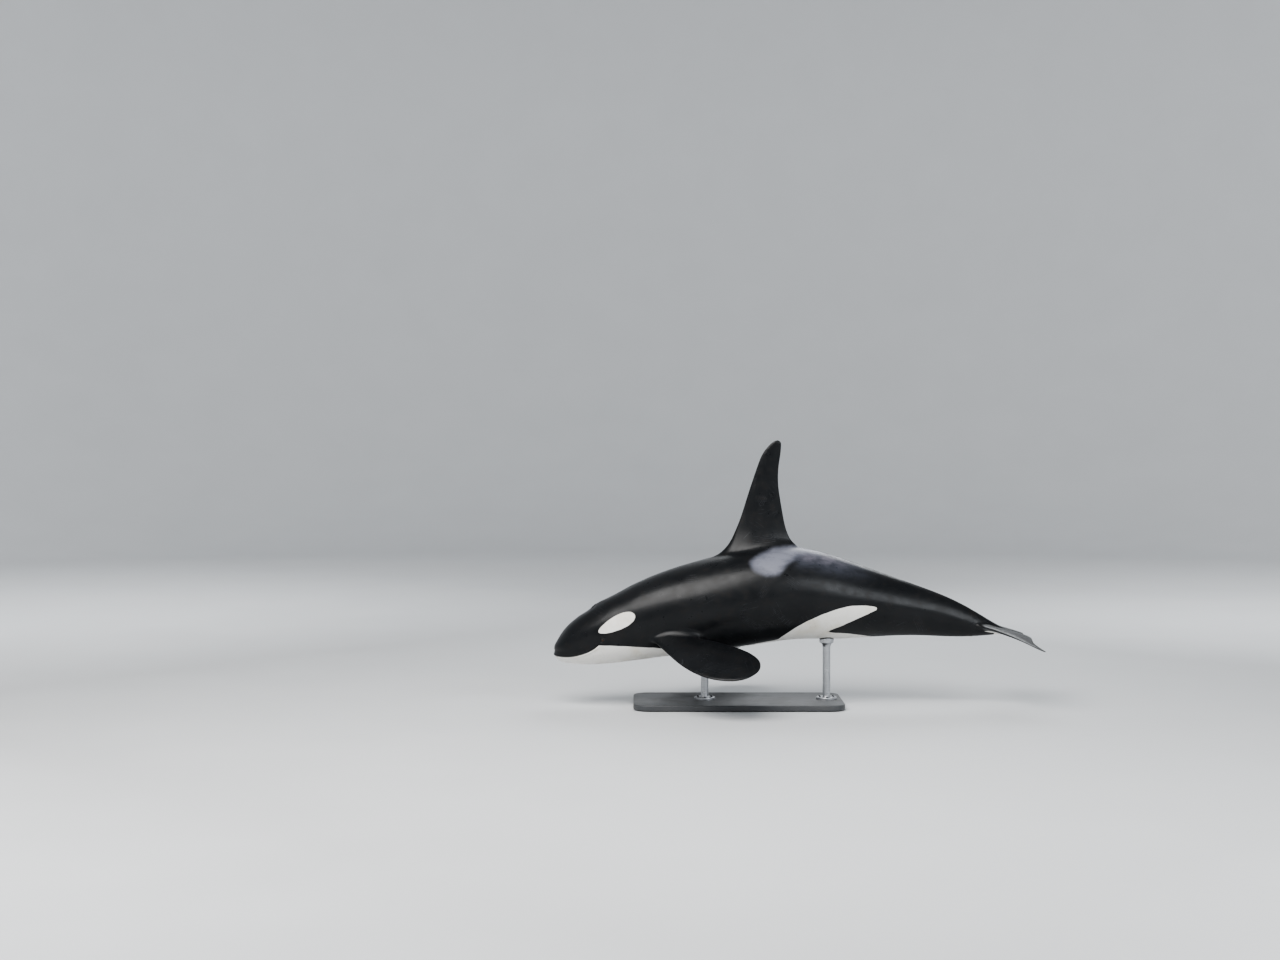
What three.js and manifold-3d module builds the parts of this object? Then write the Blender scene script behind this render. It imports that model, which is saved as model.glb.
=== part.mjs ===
// An adult male killer whale at life size, arched as it rolls forward at the surface, on a plain stand.
// Millimetres, +Z up. The head points to -X and the left flank to -Y. The origin is the middle of the
// underside of the stand's base.
import * as THREE from "three";
import { mergeVertices } from "three/addons/utils/BufferGeometryUtils.js";
import Module from "manifold-3d";

// Driving dimensions of the animal.
const LENGTH = 6900; // snout to fluke notch along the body's axis
const FIN_STATION = 0.45; // the middle of the dorsal fin, as a share of LENGTH
const FIN_X = 330; // how far the fin's middle stands behind the middle of the base
const AXIS_HEIGHT = 1580; // height of the body's axis at the fin's middle, above the floor
const GAP = 0.3; // clearance between neighbouring nodes
const FIN_CUT = 45; // how far above the body's surface a fin is parted from its root

// Body profile: station, top, bottom and half width, all as shares of LENGTH, on the straightened body.
const PROFILE = [
  [0, -0.015, -0.015, 0],
  [0.012, 0.0085, -0.034, 0.0245],
  [0.04, 0.031, -0.0482, 0.0455],
  [0.08, 0.047, -0.0615, 0.061],
  [0.12, 0.0575, -0.0715, 0.0705],
  [0.2, 0.072, -0.0865, 0.083],
  [0.3, 0.0865, -0.098, 0.0905],
  [0.4, 0.0965, -0.1, 0.0905],
  [0.48, 0.0995, -0.097, 0.0845],
  [0.56, 0.0945, -0.0895, 0.0725],
  [0.66, 0.075, -0.073, 0.053],
  [0.78, 0.0505, -0.05, 0.0305],
  [0.9, 0.0255, -0.026, 0.0165],
  [0.95, 0.0098, -0.0106, 0.0138],
  [0.98, 0.0032, -0.0038, 0.0112],
  [1, 0.0012, -0.0018, 0.009],
];
const TAIL_CLOSES = 0.985; // station from which the end of the tail stock rounds off
// Slope of the body's axis in degrees at each station: nose down, back arched, tail trailing low.
const SLOPE = [
  [0, 19],
  [0.1, 19],
  [0.2, 17],
  [0.26, 13],
  [0.33, 9.4],
  [0.4, 8.2],
  [0.45, 5.8],
  [0.49, 2],
  [0.525, -3.5],
  [0.56, -7.2],
  [0.62, -8],
  [0.7, -8],
  [0.78, -10.5],
  [0.86, -14],
  [0.92, -13],
  [1, -8],
];
// Squareness of the cross-sections: over 2 is full-cheeked, under 2 rises to a keel.
const SQUARENESS = [
  [0, 2],
  [0.1, 2.25],
  [0.3, 2.15],
  [0.5, 2],
  [0.6, 1.8],
  [0.75, 1.6],
  [0.9, 1.65],
  [1, 2],
];

// Stretches of the body's length: each ends at a station and takes a number of rings.
const STRETCHES = [
  { name: "snout", end: 0.03, rings: 4 },
  { name: "jaws", end: 0.1, rings: 5 },
  { name: "nape", end: 0.181, rings: 5 },
  { name: "shoulder", end: 0.338, rings: 8 },
  { name: "chest", end: 0.343, rings: 1 },
  { name: "back", end: 0.55, rings: 9 },
  { name: "loins", end: 0.74, rings: 6 },
  { name: "stock", end: 0.893, rings: 5 },
  { name: "flukes", end: 0.9985, rings: 7 },
  { name: "notch", end: 1, rings: 1 },
];
const SIDE_COLUMNS = 20; // columns of faces from the ridge of the back to the middle of the belly

// Where the nodes of the trunk are parted.
const NECK = 0.165;
const CHEST_END = 0.352;
const VENT = 0.565;
const STOCK_MIDDLE = 0.74;
const STOCK_END = 0.897;

// Dorsal fin: height above the axis and distance behind the fin's middle, in millimetres.
const FIN_BASE_LEVEL = 684; // the ridge of the back above the axis at the fin's middle
const DORSAL = {
  lead: [
    [-398, 178],
    [-349, 291],
    [-282, 464],
    [-210, 693],
    [-137, 923],
    [-59, 1152],
    [8, 1325],
    [84, 1440],
    [165, 1520],
    [236, 1550],
  ],
  trail: [
    [398, 178],
    [356, 291],
    [318, 464],
    [279, 693],
    [248, 923],
    [251, 1152],
    [275, 1325],
    [287, 1440],
    [283, 1520],
    [236, 1550],
  ],
  foot: { station: 0.4465, reach: 0.089, spread: 205 },
  thickness: [0.205, 0.17, 0.15, 0.14, 0.14, 0.14, 0.15, 0.17, 0.2, 0.2],
  hole: ["chest", "back", 0, 4],
  rows: 11,
};
// Flipper: distance out along its span and back across its chord, in millimetres.
const FLIPPER = {
  lead: [
    [0, -238],
    [420, -325],
    [760, -375],
    [1080, -370],
    [1340, -300],
    [1520, -180],
    [1620, -40],
    [1650, 100],
  ],
  trail: [
    [300, 262],
    [530, 374],
    [800, 458],
    [1080, 505],
    [1340, 480],
    [1520, 380],
    [1620, 245],
    [1650, 100],
  ],
  foot: { station: 0.2602, reach: 0.0633, angle: 118.4, spread: 16, tilt: 5 },
  thickness: [0.22, 0.17, 0.125, 0.11, 0.11, 0.12, 0.14, 0.14],
  hole: ["nape", "shoulder", 9, 17],
  rows: 8,
  station: 0.2475, // where the span's axis leaves the flank, with the angle from the ridge
  angle: 117,
  sweep: 31, // degrees that it points back
  droop: 27, // degrees that it hangs below the level
  twist: 9, // degrees that its trailing edge dips
};
// Fluke: distance out from the middle plane and back from its station, in millimetres.
const FLUKE = {
  lead: [
    [210, 124],
    [370, 236],
    [570, 372],
    [780, 525],
    [945, 660],
    [1035, 750],
    [1077, 812],
    [1088, 848],
  ],
  trail: [
    [58, 734],
    [290, 776],
    [570, 752],
    [780, 738],
    [945, 784],
    [1035, 838],
    [1077, 862],
    [1088, 848],
  ],
  foot: { station: 0.947, reach: 0.05, angle: 90, spread: 38, tilt: 0 },
  thickness: [0.125, 0.13, 0.13, 0.125, 0.12, 0.12, 0.12, 0.12],
  hole: ["stock", "flukes", 5, 15],
  rows: 9,
  station: 0.9,
  curl: 105, // how far the tip bends down
};
const AIRFOIL_CREST = 0.34; // where along the chord a fin is thickest
const EDGE_SHARE = 0.16; // thickness of the trailing edge as a share of the thickest
const EDGE_ROUND = 0.02; // length of the rounding at the trailing edge as a share of the chord
const REAR_FALL = 1.6; // how long the section keeps its thickness behind the crest
const FLARE_ROWS = 3; // rows from a fin's foot on the body to the root of its span
const FLARE_PULL = 1.1; // how strongly the flare leans into the span's direction
const ROOT_STEP = 0.05; // step along the span that gives its direction at the root
const HOLE_ROWS = 2; // rows on the body between a hole's rim and a fin's foot

// Head.
const MOUTH = [
  [0, -0.015],
  [0.012, -0.0205],
  [0.035, -0.0268],
  [0.065, -0.0278],
  [0.085, -0.0245],
  [0.098, -0.0195],
];
const MOUTH_CORNER = 0.098;
const MOUTH_STEPS = 12; // steps of the mouth's line from the snout to a corner
const MOUTH_GATHER = 1.6; // how much these steps shorten toward the snout
const LIP = { radius: 30, sink: 20, apart: 24, sides: 7 };
const GROOVE = { radius: 9, sides: 6 };
const TAPER = { end: 0.35, steps: 4 }; // how a lip, groove or rim thins toward its ends
const JAW = { hinge: 0.13, hingeLevel: -0.075, below: -0.12, ahead: -0.02, reach: 0.15, steps: 14 };
const EYE = { station: 0.109, level: -0.0125, radius: 31, sink: 21, turns: 16, rows: 10 };
const LID = { radius: 11, long: 35, high: 27, sink: 5, steps: 16, sides: 6 };
const EAR = { station: 0.131, level: -0.01, radius: 4, depth: 12, sides: 8 };
const BLOWHOLE = { station: 0.111, halfWidth: 62, bow: 34, steps: 5 };
const BLOWHOLE_RIM = { radius: 17, sink: 11, sides: 6 };
const BLOWHOLE_SLIT = { radius: 9, sink: 2, sides: 6 };

// Stand.
const BASE = { length: 3000, width: 1400, height: 90, corner: 220, bevel: 14, bevelSteps: 2, cornerSteps: 4 };
const RODS = [
  { name: "stand_rod_front", station: 0.315 },
  { name: "stand_rod_rear", station: 0.6 },
];
const ROD = { radius: 55, sides: 20 };
const FLANGE = { radius: 150, height: 34, edge: 20, chamfer: 14, fillet: 12 };
const COLLAR = { radius: 105, foot: 130, cone: 70, reach: 160 }; // heights from the lowest point of the belly

const DEGREE = Math.PI / 180;
const WELD = 1e-3; // points nearer than this are one
const NORMAL_STEP = { station: 0.002, angle: 0.02 };
const wasm = await Module();
wasm.setup();

// Natural cubic spline through [x, y] pairs.
function spline(pairs) {
  const xs = pairs.map((pair) => pair[0]);
  const ys = pairs.map((pair) => pair[1]);
  const last = xs.length - 1;
  const bend = new Array(last + 1).fill(0);
  const ratio = new Array(last + 1).fill(0);
  for (let i = 1; i < last; i++) {
    const before = xs[i] - xs[i - 1];
    const after = xs[i + 1] - xs[i];
    const turn = (ys[i + 1] - ys[i]) / after - (ys[i] - ys[i - 1]) / before;
    const pivot = 2 * (before + after) - before * ratio[i - 1];
    ratio[i] = after / pivot;
    bend[i] = (6 * turn - before * bend[i - 1]) / pivot;
  }
  for (let i = last - 1; i > 0; i--) bend[i] -= ratio[i] * bend[i + 1];
  return (x) => {
    let i = 1;
    while (i < last && x > xs[i]) i++;
    const width = xs[i] - xs[i - 1];
    const a = (xs[i] - x) / width;
    const b = 1 - a;
    const curve = (a ** 3 - a) * bend[i - 1] + (b ** 3 - b) * bend[i];
    return a * ys[i - 1] + b * ys[i] + (curve * width ** 2) / 6;
  };
}

// The profile's splines run over the square root of the station, so the snout is round.
const column = (index) => spline(PROFILE.map((row) => [Math.sqrt(row[0]), row[index]]));
const topSpline = column(1);
const bottomSpline = column(2);
const widthSpline = column(3);
const slopeAt = spline(SLOPE);
const squarenessAt = spline(SQUARENESS);
const mouthSpline = spline(MOUTH.map(([u, z]) => [Math.sqrt(u), z]));

// Height of the mouth's line above the axis at a station.
const mouthLevel = (u) => LENGTH * mouthSpline(Math.sqrt(u));

// The axis, summed up from the slope, with the fin's middle at FIN_X and AXIS_HEIGHT.
const AXIS_STEPS = 1380;
const axisPoints = [new THREE.Vector3()];
for (let i = 0; i < AXIS_STEPS; i++) {
  const slope = slopeAt((i + 0.5) / AXIS_STEPS) * DEGREE;
  const step = new THREE.Vector3(Math.cos(slope), 0, Math.sin(slope));
  axisPoints.push(axisPoints[i].clone().addScaledVector(step, LENGTH / AXIS_STEPS));
}
const axisAtFin = axisPoints[Math.round(FIN_STATION * AXIS_STEPS)].clone();
for (const point of axisPoints) {
  point.x += FIN_X - axisAtFin.x;
  point.z += AXIS_HEIGHT - axisAtFin.z;
}

// Directions at a station: back along the axis, and up away from it.
function frameAt(u) {
  const slope = slopeAt(THREE.MathUtils.clamp(u, 0, 1)) * DEGREE;
  return {
    back: new THREE.Vector3(Math.cos(slope), 0, Math.sin(slope)),
    up: new THREE.Vector3(-Math.sin(slope), 0, Math.cos(slope)),
  };
}

// Point of the axis at a station, carried on straight past both ends.
function axisAt(u) {
  const inside = THREE.MathUtils.clamp(u, 0, 1);
  const place = inside * AXIS_STEPS;
  const i = Math.min(Math.floor(place), AXIS_STEPS - 1);
  const point = axisPoints[i].clone().lerp(axisPoints[i + 1], place - i);
  return point.addScaledVector(frameAt(u).back, (u - inside) * LENGTH);
}

// Half sizes of the cross-section at a station, in millimetres.
function sectionAt(u) {
  const root = Math.sqrt(u);
  const past = Math.max(0, (u - TAIL_CLOSES) / (1 - TAIL_CLOSES));
  const closing = Math.sqrt(Math.max(0, 1 - past ** 2));
  const top = LENGTH * topSpline(root);
  const bottom = LENGTH * bottomSpline(root);
  return {
    middle: (top + bottom) / 2,
    rise: (closing * (top - bottom)) / 2,
    half: closing * LENGTH * widthSpline(root),
    power: 2 / squarenessAt(u),
  };
}

// Point of the body's surface: angle 0 is the ridge of the back, 90 degrees the left flank.
function bodyPoint(u, angle, outward = 0) {
  const { middle, rise, half, power } = sectionAt(u);
  const sine = Math.sin(angle);
  const cosine = Math.cos(angle);
  const side = Math.sign(sine) * Math.abs(sine) ** power * (half + outward);
  const level = middle + Math.sign(cosine) * Math.abs(cosine) ** power * (rise + outward);
  const point = axisAt(u).addScaledVector(frameAt(u).up, level);
  point.y = -side;
  return point;
}

// Outward normal of the body's surface, from two short steps on it.
function bodyNormal(u, angle) {
  if (u === 0) return frameAt(0).back.negate();
  const { station: du, angle: da } = NORMAL_STEP;
  const along = bodyPoint(Math.min(u + du, 1), angle).sub(bodyPoint(Math.max(u - du, 0), angle));
  const around = bodyPoint(u, angle + da).sub(bodyPoint(u, angle - da));
  return around.cross(along).normalize();
}

// Angle at which the upper or lower half of a section has a given height above the axis.
function angleAtLevel(u, level) {
  const { middle, rise, power } = sectionAt(u);
  const share = THREE.MathUtils.clamp((level - middle) / Math.max(rise, 1e-6), -1, 1);
  return Math.acos(Math.sign(share) * Math.abs(share) ** (1 / power));
}

// Angle at which the back's surface stands a given distance to the side of the ridge.
function angleAtSide(u, side) {
  const { half, power } = sectionAt(u);
  return Math.asin(Math.min(1, (side / half) ** (1 / power)));
}

// Point in the middle plane, at a station and a height above the axis.
const sidePoint = (u, level) => axisAt(u).addScaledVector(frameAt(u).up, level);

// A left half-skin being built: points, and triangles whose corners are point numbers.
class HalfSkin {
  points = [];
  faces = [];
  addPoint(point) {
    return this.points.push(point) - 1;
  }
  addQuad(a, b, c, d) {
    this.faces.push([a, b, c], [a, c, d]);
  }
  // The closed solid of this half and its mirror image, which share the points of the middle plane.
  solid() {
    const { points, faces } = this;
    for (const point of points) if (Math.abs(point.y) < 1e-6) point.y = 0;
    const mirrored = points.map((point) => new THREE.Vector3(point.x, -point.y, point.z));
    const turned = faces.map(([a, b, c]) => [a + points.length, c + points.length, b + points.length]);
    return solidFrom([...points, ...mirrored], [...faces, ...turned]);
  }
}

// Stations of all rings, and the ring at which each stretch ends.
const stations = [0];
const ringOf = {};
for (const { name, end, rings } of STRETCHES) {
  const start = Math.sqrt(stations.at(-1));
  const stop = Math.sqrt(end);
  for (let k = 1; k <= rings; k++) stations.push((start + ((stop - start) * k) / rings) ** 2);
  ringOf[name] = stations.length - 1;
}

// A hole in the grid of rings and columns, from the end of one stretch to the end of another.
const holeOf = ([from, to, first, last]) => ({ i0: ringOf[from], i1: ringOf[to], j0: first, j1: last });
const holes = [holeOf(DORSAL.hole), holeOf(FLIPPER.hole), holeOf(FLUKE.hole)];
const insideHole = (i, j, rim) =>
  holes.some(({ i0, i1, j0, j1 }) => i >= i0 + rim && i < i1 && (j0 === 0 || j >= j0 + rim) && j < j1);

// The left half of the trunk, its surface moved outward by a distance, open at the holes if it has any.
// It returns the point numbers by ring and column.
function buildTrunk(skin, outward, open) {
  const last = stations.length - 1;
  const grid = stations.map(() => []);
  const tip = (u, way) => bodyPoint(u, 0).addScaledVector(frameAt(u).back, way * outward);
  const snout = skin.addPoint(tip(0, -1));
  const tail = skin.addPoint(tip(1, 1));
  for (let i = 1; i < last; i++)
    for (let j = 0; j <= SIDE_COLUMNS; j++)
      if (!open || !insideHole(i, j, 1))
        grid[i][j] = skin.addPoint(bodyPoint(stations[i], (Math.PI * j) / SIDE_COLUMNS, outward));
  for (let j = 0; j < SIDE_COLUMNS; j++) {
    skin.faces.push([snout, grid[1][j + 1], grid[1][j]]);
    skin.faces.push([tail, grid[last - 1][j], grid[last - 1][j + 1]]);
    for (let i = 1; i < last - 1; i++)
      if (!open || !insideHole(i, j, 0))
        skin.addQuad(grid[i][j], grid[i][j + 1], grid[i + 1][j + 1], grid[i + 1][j]);
  }
  return grid;
}

// Corners of a hole's rim in order, each with its station, its angle on the body and its turn round the fin:
// 0 at the fin's front edge, 180 degrees at its rear edge. A hole on the middle plane gives half a rim.
function rimOf(grid, { i0, i1, j0, j1 }) {
  const halved = j0 === 0;
  const rim = [];
  const add = (i, j) => rim.push({ corner: grid[i][j], u: stations[i], angle: (Math.PI * j) / SIDE_COLUMNS });
  for (let j = j0; j < j1; j++) add(i0, j);
  for (let i = i0; i < i1; i++) add(i, j1);
  for (let j = j1; j > j0; j--) add(i1, j);
  if (halved) add(i1, 0);
  else for (let i = i1; i > i0; i--) add(i, j0);
  const front = halved ? 0 : (j1 - j0) / 2;
  const turns = halved ? 2 * (rim.length - 1) : rim.length;
  rim.forEach((place, k) => {
    place.turn = (2 * Math.PI * (k - front)) / turns;
  });
  return rim;
}

// Half thickness of a fin at a share of its chord, as a share of its greatest half thickness.
function airfoil(chord) {
  const front = Math.min(chord / AIRFOIL_CREST, 1);
  const back = Math.max((chord - AIRFOIL_CREST) / (1 - AIRFOIL_CREST), 0);
  const end = Math.max((chord - 1 + EDGE_ROUND) / EDGE_ROUND, 0);
  const swell = Math.sqrt(front * (2 - front)) * (1 - (1 - EDGE_SHARE) * back ** REAR_FALL);
  return swell * Math.sqrt(Math.max(0, 1 - end ** 2));
}

// A fin's outline as splines over its control points' numbers.
function planOf(fin) {
  const track = (list, index) => spline(list.map((pair, i) => [i, pair[index]]));
  const thick = spline(fin.thickness.map((share, i) => [i, share]));
  const [leadA, leadB, trailA, trailB] = [
    track(fin.lead, 0),
    track(fin.lead, 1),
    track(fin.trail, 0),
    track(fin.trail, 1),
  ];
  const end = fin.lead.length - 1;
  return { end, leadA, leadB, trailA, trailB, thick };
}

// A point on a fin at a place along its span and an angle round its section, in the fin's own plane.
function finPlace(plan, span, turn) {
  const chord = (1 - Math.cos(turn)) / 2;
  const da = plan.trailA(span) - plan.leadA(span);
  const db = plan.trailB(span) - plan.leadB(span);
  const swell = (Math.hypot(da, db) * plan.thick(span) * airfoil(chord)) / 2;
  return {
    a: plan.leadA(span) + chord * da,
    b: plan.leadB(span) + chord * db,
    n: Math.sign(Math.sin(turn)) * swell,
  };
}

// Points of the dorsal fin in the whale's frame: a is backward, b upward and n toward the left.
function dorsalPoint({ a, b, n }) {
  return new THREE.Vector3(FIN_X + a, -n, AXIS_HEIGHT + FIN_BASE_LEVEL + b);
}

// Points of the left flipper: a is outward along the span, b backward and n downward.
const flipperFrame = (() => {
  const { back, up } = frameAt(FLIPPER.station);
  const sweep = FLIPPER.sweep * DEGREE;
  const droop = FLIPPER.droop * DEGREE;
  const left = new THREE.Vector3(0, -1, 0);
  const out = left.multiplyScalar(Math.cos(droop)).addScaledVector(up, -Math.sin(droop));
  const span = back.clone().multiplyScalar(Math.sin(sweep)).addScaledVector(out, Math.cos(sweep));
  const chord = back.clone().multiplyScalar(Math.cos(sweep)).addScaledVector(out, -Math.sin(sweep));
  chord.applyAxisAngle(span, -FLIPPER.twist * DEGREE);
  const origin = bodyPoint(FLIPPER.station, FLIPPER.angle * DEGREE);
  return { origin, span, chord, down: chord.clone().cross(span) };
})();
function flipperPoint({ a, b, n }) {
  const { origin, span, chord, down } = flipperFrame;
  return origin.clone().addScaledVector(span, a).addScaledVector(chord, b).addScaledVector(down, n);
}

// Points of the left fluke: a is outward, b backward and n downward, with the tip bent down.
function flukePoint({ a, b, n }) {
  const { back, up } = frameAt(FLUKE.foot.station);
  const bend = FLUKE.curl * (a / FLUKE.lead.at(-1)[0]) ** 3;
  const point = sidePoint(FLUKE.station, sectionAt(FLUKE.foot.station).middle);
  point.addScaledVector(back, b).addScaledVector(up, -n - bend);
  point.y = -a;
  return point;
}

// Places on the body where a fin's flare starts, at an angle round the fin.
function dorsalFoot(turn) {
  const { station, reach, spread } = DORSAL.foot;
  const u = station - reach * Math.cos(turn);
  return { u, angle: angleAtSide(u, spread * Math.abs(Math.sin(turn))) };
}
const flankFoot =
  ({ foot }) =>
  (turn) => ({
    u: foot.station - foot.reach * Math.cos(turn),
    angle: (foot.angle + foot.spread * Math.sin(turn) - foot.tilt * Math.cos(turn)) * DEGREE,
  });

// Cubic curve between two points with the given directions at its ends.
function hermite(p0, t0, p1, t1, share) {
  const s2 = share ** 2;
  const s3 = share ** 3;
  return p0
    .clone()
    .multiplyScalar(2 * s3 - 3 * s2 + 1)
    .addScaledVector(t0, s3 - 2 * s2 + share)
    .addScaledVector(p1, 3 * s2 - 2 * s3)
    .addScaledVector(t1, s3 - s2);
}

// Grows a fin out of its hole: rows on the body, a flare, rows along the span and a closed tip.
function growFin(skin, grid, fin, footAt, pointAt) {
  const rim = rimOf(grid, holeOf(fin.hole));
  const plan = planOf(fin);
  const closed = fin.hole[2] !== 0;
  const edges = closed ? rim.length : rim.length - 1;
  let ring = rim.map(({ corner }) => corner);
  const nextRing = (points) => {
    const made = points.map((point) => skin.addPoint(point));
    for (let k = 0; k < edges; k++) {
      const next = (k + 1) % rim.length;
      skin.addQuad(ring[k], ring[next], made[next], made[k]);
    }
    ring = made;
  };
  for (let row = 1; row <= HOLE_ROWS; row++) {
    const share = row / HOLE_ROWS;
    nextRing(
      rim.map(({ u, angle, turn }) => {
        const foot = footAt(turn);
        return bodyPoint(u + (foot.u - u) * share, angle + (foot.angle - angle) * share);
      }),
    );
  }
  const flares = rim.map(({ turn }) => {
    const foot = footAt(turn);
    const start = bodyPoint(foot.u, foot.angle);
    const stop = pointAt(finPlace(plan, 0, turn));
    const reach = stop.clone().sub(start);
    const normal = bodyNormal(foot.u, foot.angle);
    const leave = reach.clone().addScaledVector(normal, -reach.dot(normal)).setLength(reach.length());
    const arrive = pointAt(finPlace(plan, ROOT_STEP, turn)).sub(stop).setLength(reach.length() * FLARE_PULL);
    return { start, leave, stop, arrive };
  });
  for (let row = 1; row <= FLARE_ROWS; row++)
    nextRing(
      flares.map(({ start, leave, stop, arrive }) => hermite(start, leave, stop, arrive, row / FLARE_ROWS)),
    );
  for (let row = 1; row < fin.rows; row++) {
    const span = plan.end * Math.sin((Math.PI / 2) * (row / fin.rows));
    nextRing(rim.map(({ turn }) => pointAt(finPlace(plan, span, turn))));
  }
  const tip = skin.addPoint(pointAt(finPlace(plan, plan.end, 0)));
  for (let k = 0; k < edges; k++) skin.faces.push([ring[k], ring[(k + 1) % rim.length], tip]);
}

// A closed solid from points and triangles.
function solidFrom(points, faces) {
  const geometry = new THREE.BufferGeometry().setFromPoints(points);
  geometry.setIndex(faces.flat());
  return solidOf(geometry);
}

// A closed solid from a three.js geometry.
function solidOf(geometry) {
  geometry.deleteAttribute("normal");
  geometry.deleteAttribute("uv");
  const merged = mergeVertices(geometry, WELD);
  const triVerts = new Uint32Array(merged.index.array);
  return new wasm.Manifold(
    new wasm.Mesh({ numProp: 3, vertProperties: merged.attributes.position.array, triVerts }),
  );
}

// The trunk with all its fins grown out of it.
function wholeSkin() {
  const skin = new HalfSkin();
  const grid = buildTrunk(skin, 0, true);
  growFin(skin, grid, DORSAL, dorsalFoot, dorsalPoint);
  growFin(skin, grid, FLIPPER, flankFoot(FLIPPER), flipperPoint);
  growFin(skin, grid, FLUKE, flankFoot(FLUKE), flukePoint);
  return skin.solid();
}

// The trunk alone with no fins, its surface moved outward by a distance.
function plainTrunk(outward) {
  const skin = new HalfSkin();
  buildTrunk(skin, outward, false);
  return skin.solid();
}

// Only the largest of the closed pieces of a solid.
const largest = (solid) => solid.decompose().reduce((a, b) => (b.volume() > a.volume() ? b : a));

// The part of a solid between two stations, parted by flat cuts square to the axis.
function between(solid, from, to) {
  let part = solid;
  if (from !== null) {
    const { back } = frameAt(from);
    part = part.trimByPlane(back.toArray(), axisAt(from).dot(back) + GAP / 2);
  }
  if (to !== null) {
    const forward = frameAt(to).back.negate();
    part = part.trimByPlane(forward.toArray(), axisAt(to).dot(forward) + GAP / 2);
  }
  return part;
}

// A round bar through centres, tapered or not, its sections square to the path, closed at both ends.
function sweep(centres, { radius, sides }, tapered) {
  const points = [centres[0], centres.at(-1)];
  const faces = [];
  const last = centres.length - 1;
  let across = new THREE.Vector3(0, 0, 1);
  centres.forEach((centre, i) => {
    const ahead = centres[Math.min(i + 1, last)].clone().sub(centres[Math.max(i - 1, 0)]).normalize();
    across = across.clone().addScaledVector(ahead, -across.dot(ahead)).normalize();
    const other = ahead.clone().cross(across);
    const fromEnd = Math.min(i, last - i) / TAPER.steps;
    const thick = tapered ? radius * Math.min(1, TAPER.end + (1 - TAPER.end) * fromEnd) : radius;
    for (let k = 0; k < sides; k++) {
      const turn = (2 * Math.PI * k) / sides;
      const spoke = across.clone().multiplyScalar(Math.cos(turn)).addScaledVector(other, Math.sin(turn));
      points.push(centre.clone().addScaledVector(spoke, thick));
    }
  });
  const corner = (i, k) => 2 + i * sides + (k % sides);
  for (let k = 0; k < sides; k++) {
    faces.push([0, corner(0, k + 1), corner(0, k)]);
    faces.push([1, corner(last, k), corner(last, k + 1)]);
    for (let i = 0; i < last; i++) {
      faces.push([corner(i, k), corner(i, k + 1), corner(i + 1, k + 1)]);
      faces.push([corner(i, k), corner(i + 1, k + 1), corner(i + 1, k)]);
    }
  }
  return solidFrom(points, faces);
}

// A path along the mouth's line, raised or lowered on the skin and sunk under it, from the right corner round
// the snout to the left corner.
function mouthPath(raise, sink) {
  const start = snoutStation(raise);
  const half = [];
  for (let k = 0; k <= MOUTH_STEPS; k++) {
    const u = start + (MOUTH_CORNER - start) * (k / MOUTH_STEPS) ** MOUTH_GATHER;
    const angle = angleAtLevel(u, mouthLevel(u) + raise);
    half.push(bodyPoint(u, angle).addScaledVector(bodyNormal(u, angle), -sink));
  }
  half[0].y = 0;
  const other = half.slice(1).map((point) => new THREE.Vector3(point.x, -point.y, point.z));
  return [...other.reverse(), ...half];
}

// Station at which the snout's front, in the middle plane, stands a distance above or below the mouth's line.
function snoutStation(raise) {
  if (raise === 0) return 0;
  const longest = 0.02;
  const steps = 2000;
  for (let k = 1; k < steps; k++) {
    const u = (longest * k) / steps;
    const { middle, rise } = sectionAt(u);
    if (Math.sign(raise) * (middle - mouthLevel(u)) + rise > Math.abs(raise)) return u;
  }
  return longest;
}

// The head with both lips rolled out and the line of the mouth cut between them.
function addMouth(head) {
  const upper = mouthPath(LIP.apart, LIP.sink);
  const lower = mouthPath(-LIP.apart, LIP.sink);
  const line = mouthPath(0, 0);
  return head.add(sweep(upper, LIP, true)).add(sweep(lower, LIP, true)).subtract(sweep(line, GROOVE, true));
}

// Where a thing on the side of the head sits: its point, normal, and the directions back and up on the skin.
function spotOnHead({ station, level }, side) {
  const angle = angleAtLevel(station, level * LENGTH);
  const centre = bodyPoint(station, angle);
  const normal = bodyNormal(station, angle);
  const back = frameAt(station).back.clone();
  back.addScaledVector(normal, -back.dot(normal)).normalize();
  const up = back.clone().cross(normal);
  if (up.z < 0) up.negate();
  for (const vector of [centre, normal, back, up]) vector.y *= side;
  return { centre, normal, back, up };
}

// A ball for an eye, larger or smaller by a margin.
function eyeBall(side, margin) {
  const { centre, normal } = spotOnHead(EYE, side);
  const middle = centre.clone().addScaledVector(normal, -EYE.sink);
  const ball = new THREE.SphereGeometry(EYE.radius + margin, EYE.turns, EYE.rows);
  return solidOf(ball.translate(middle.x, middle.y, middle.z));
}

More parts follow.
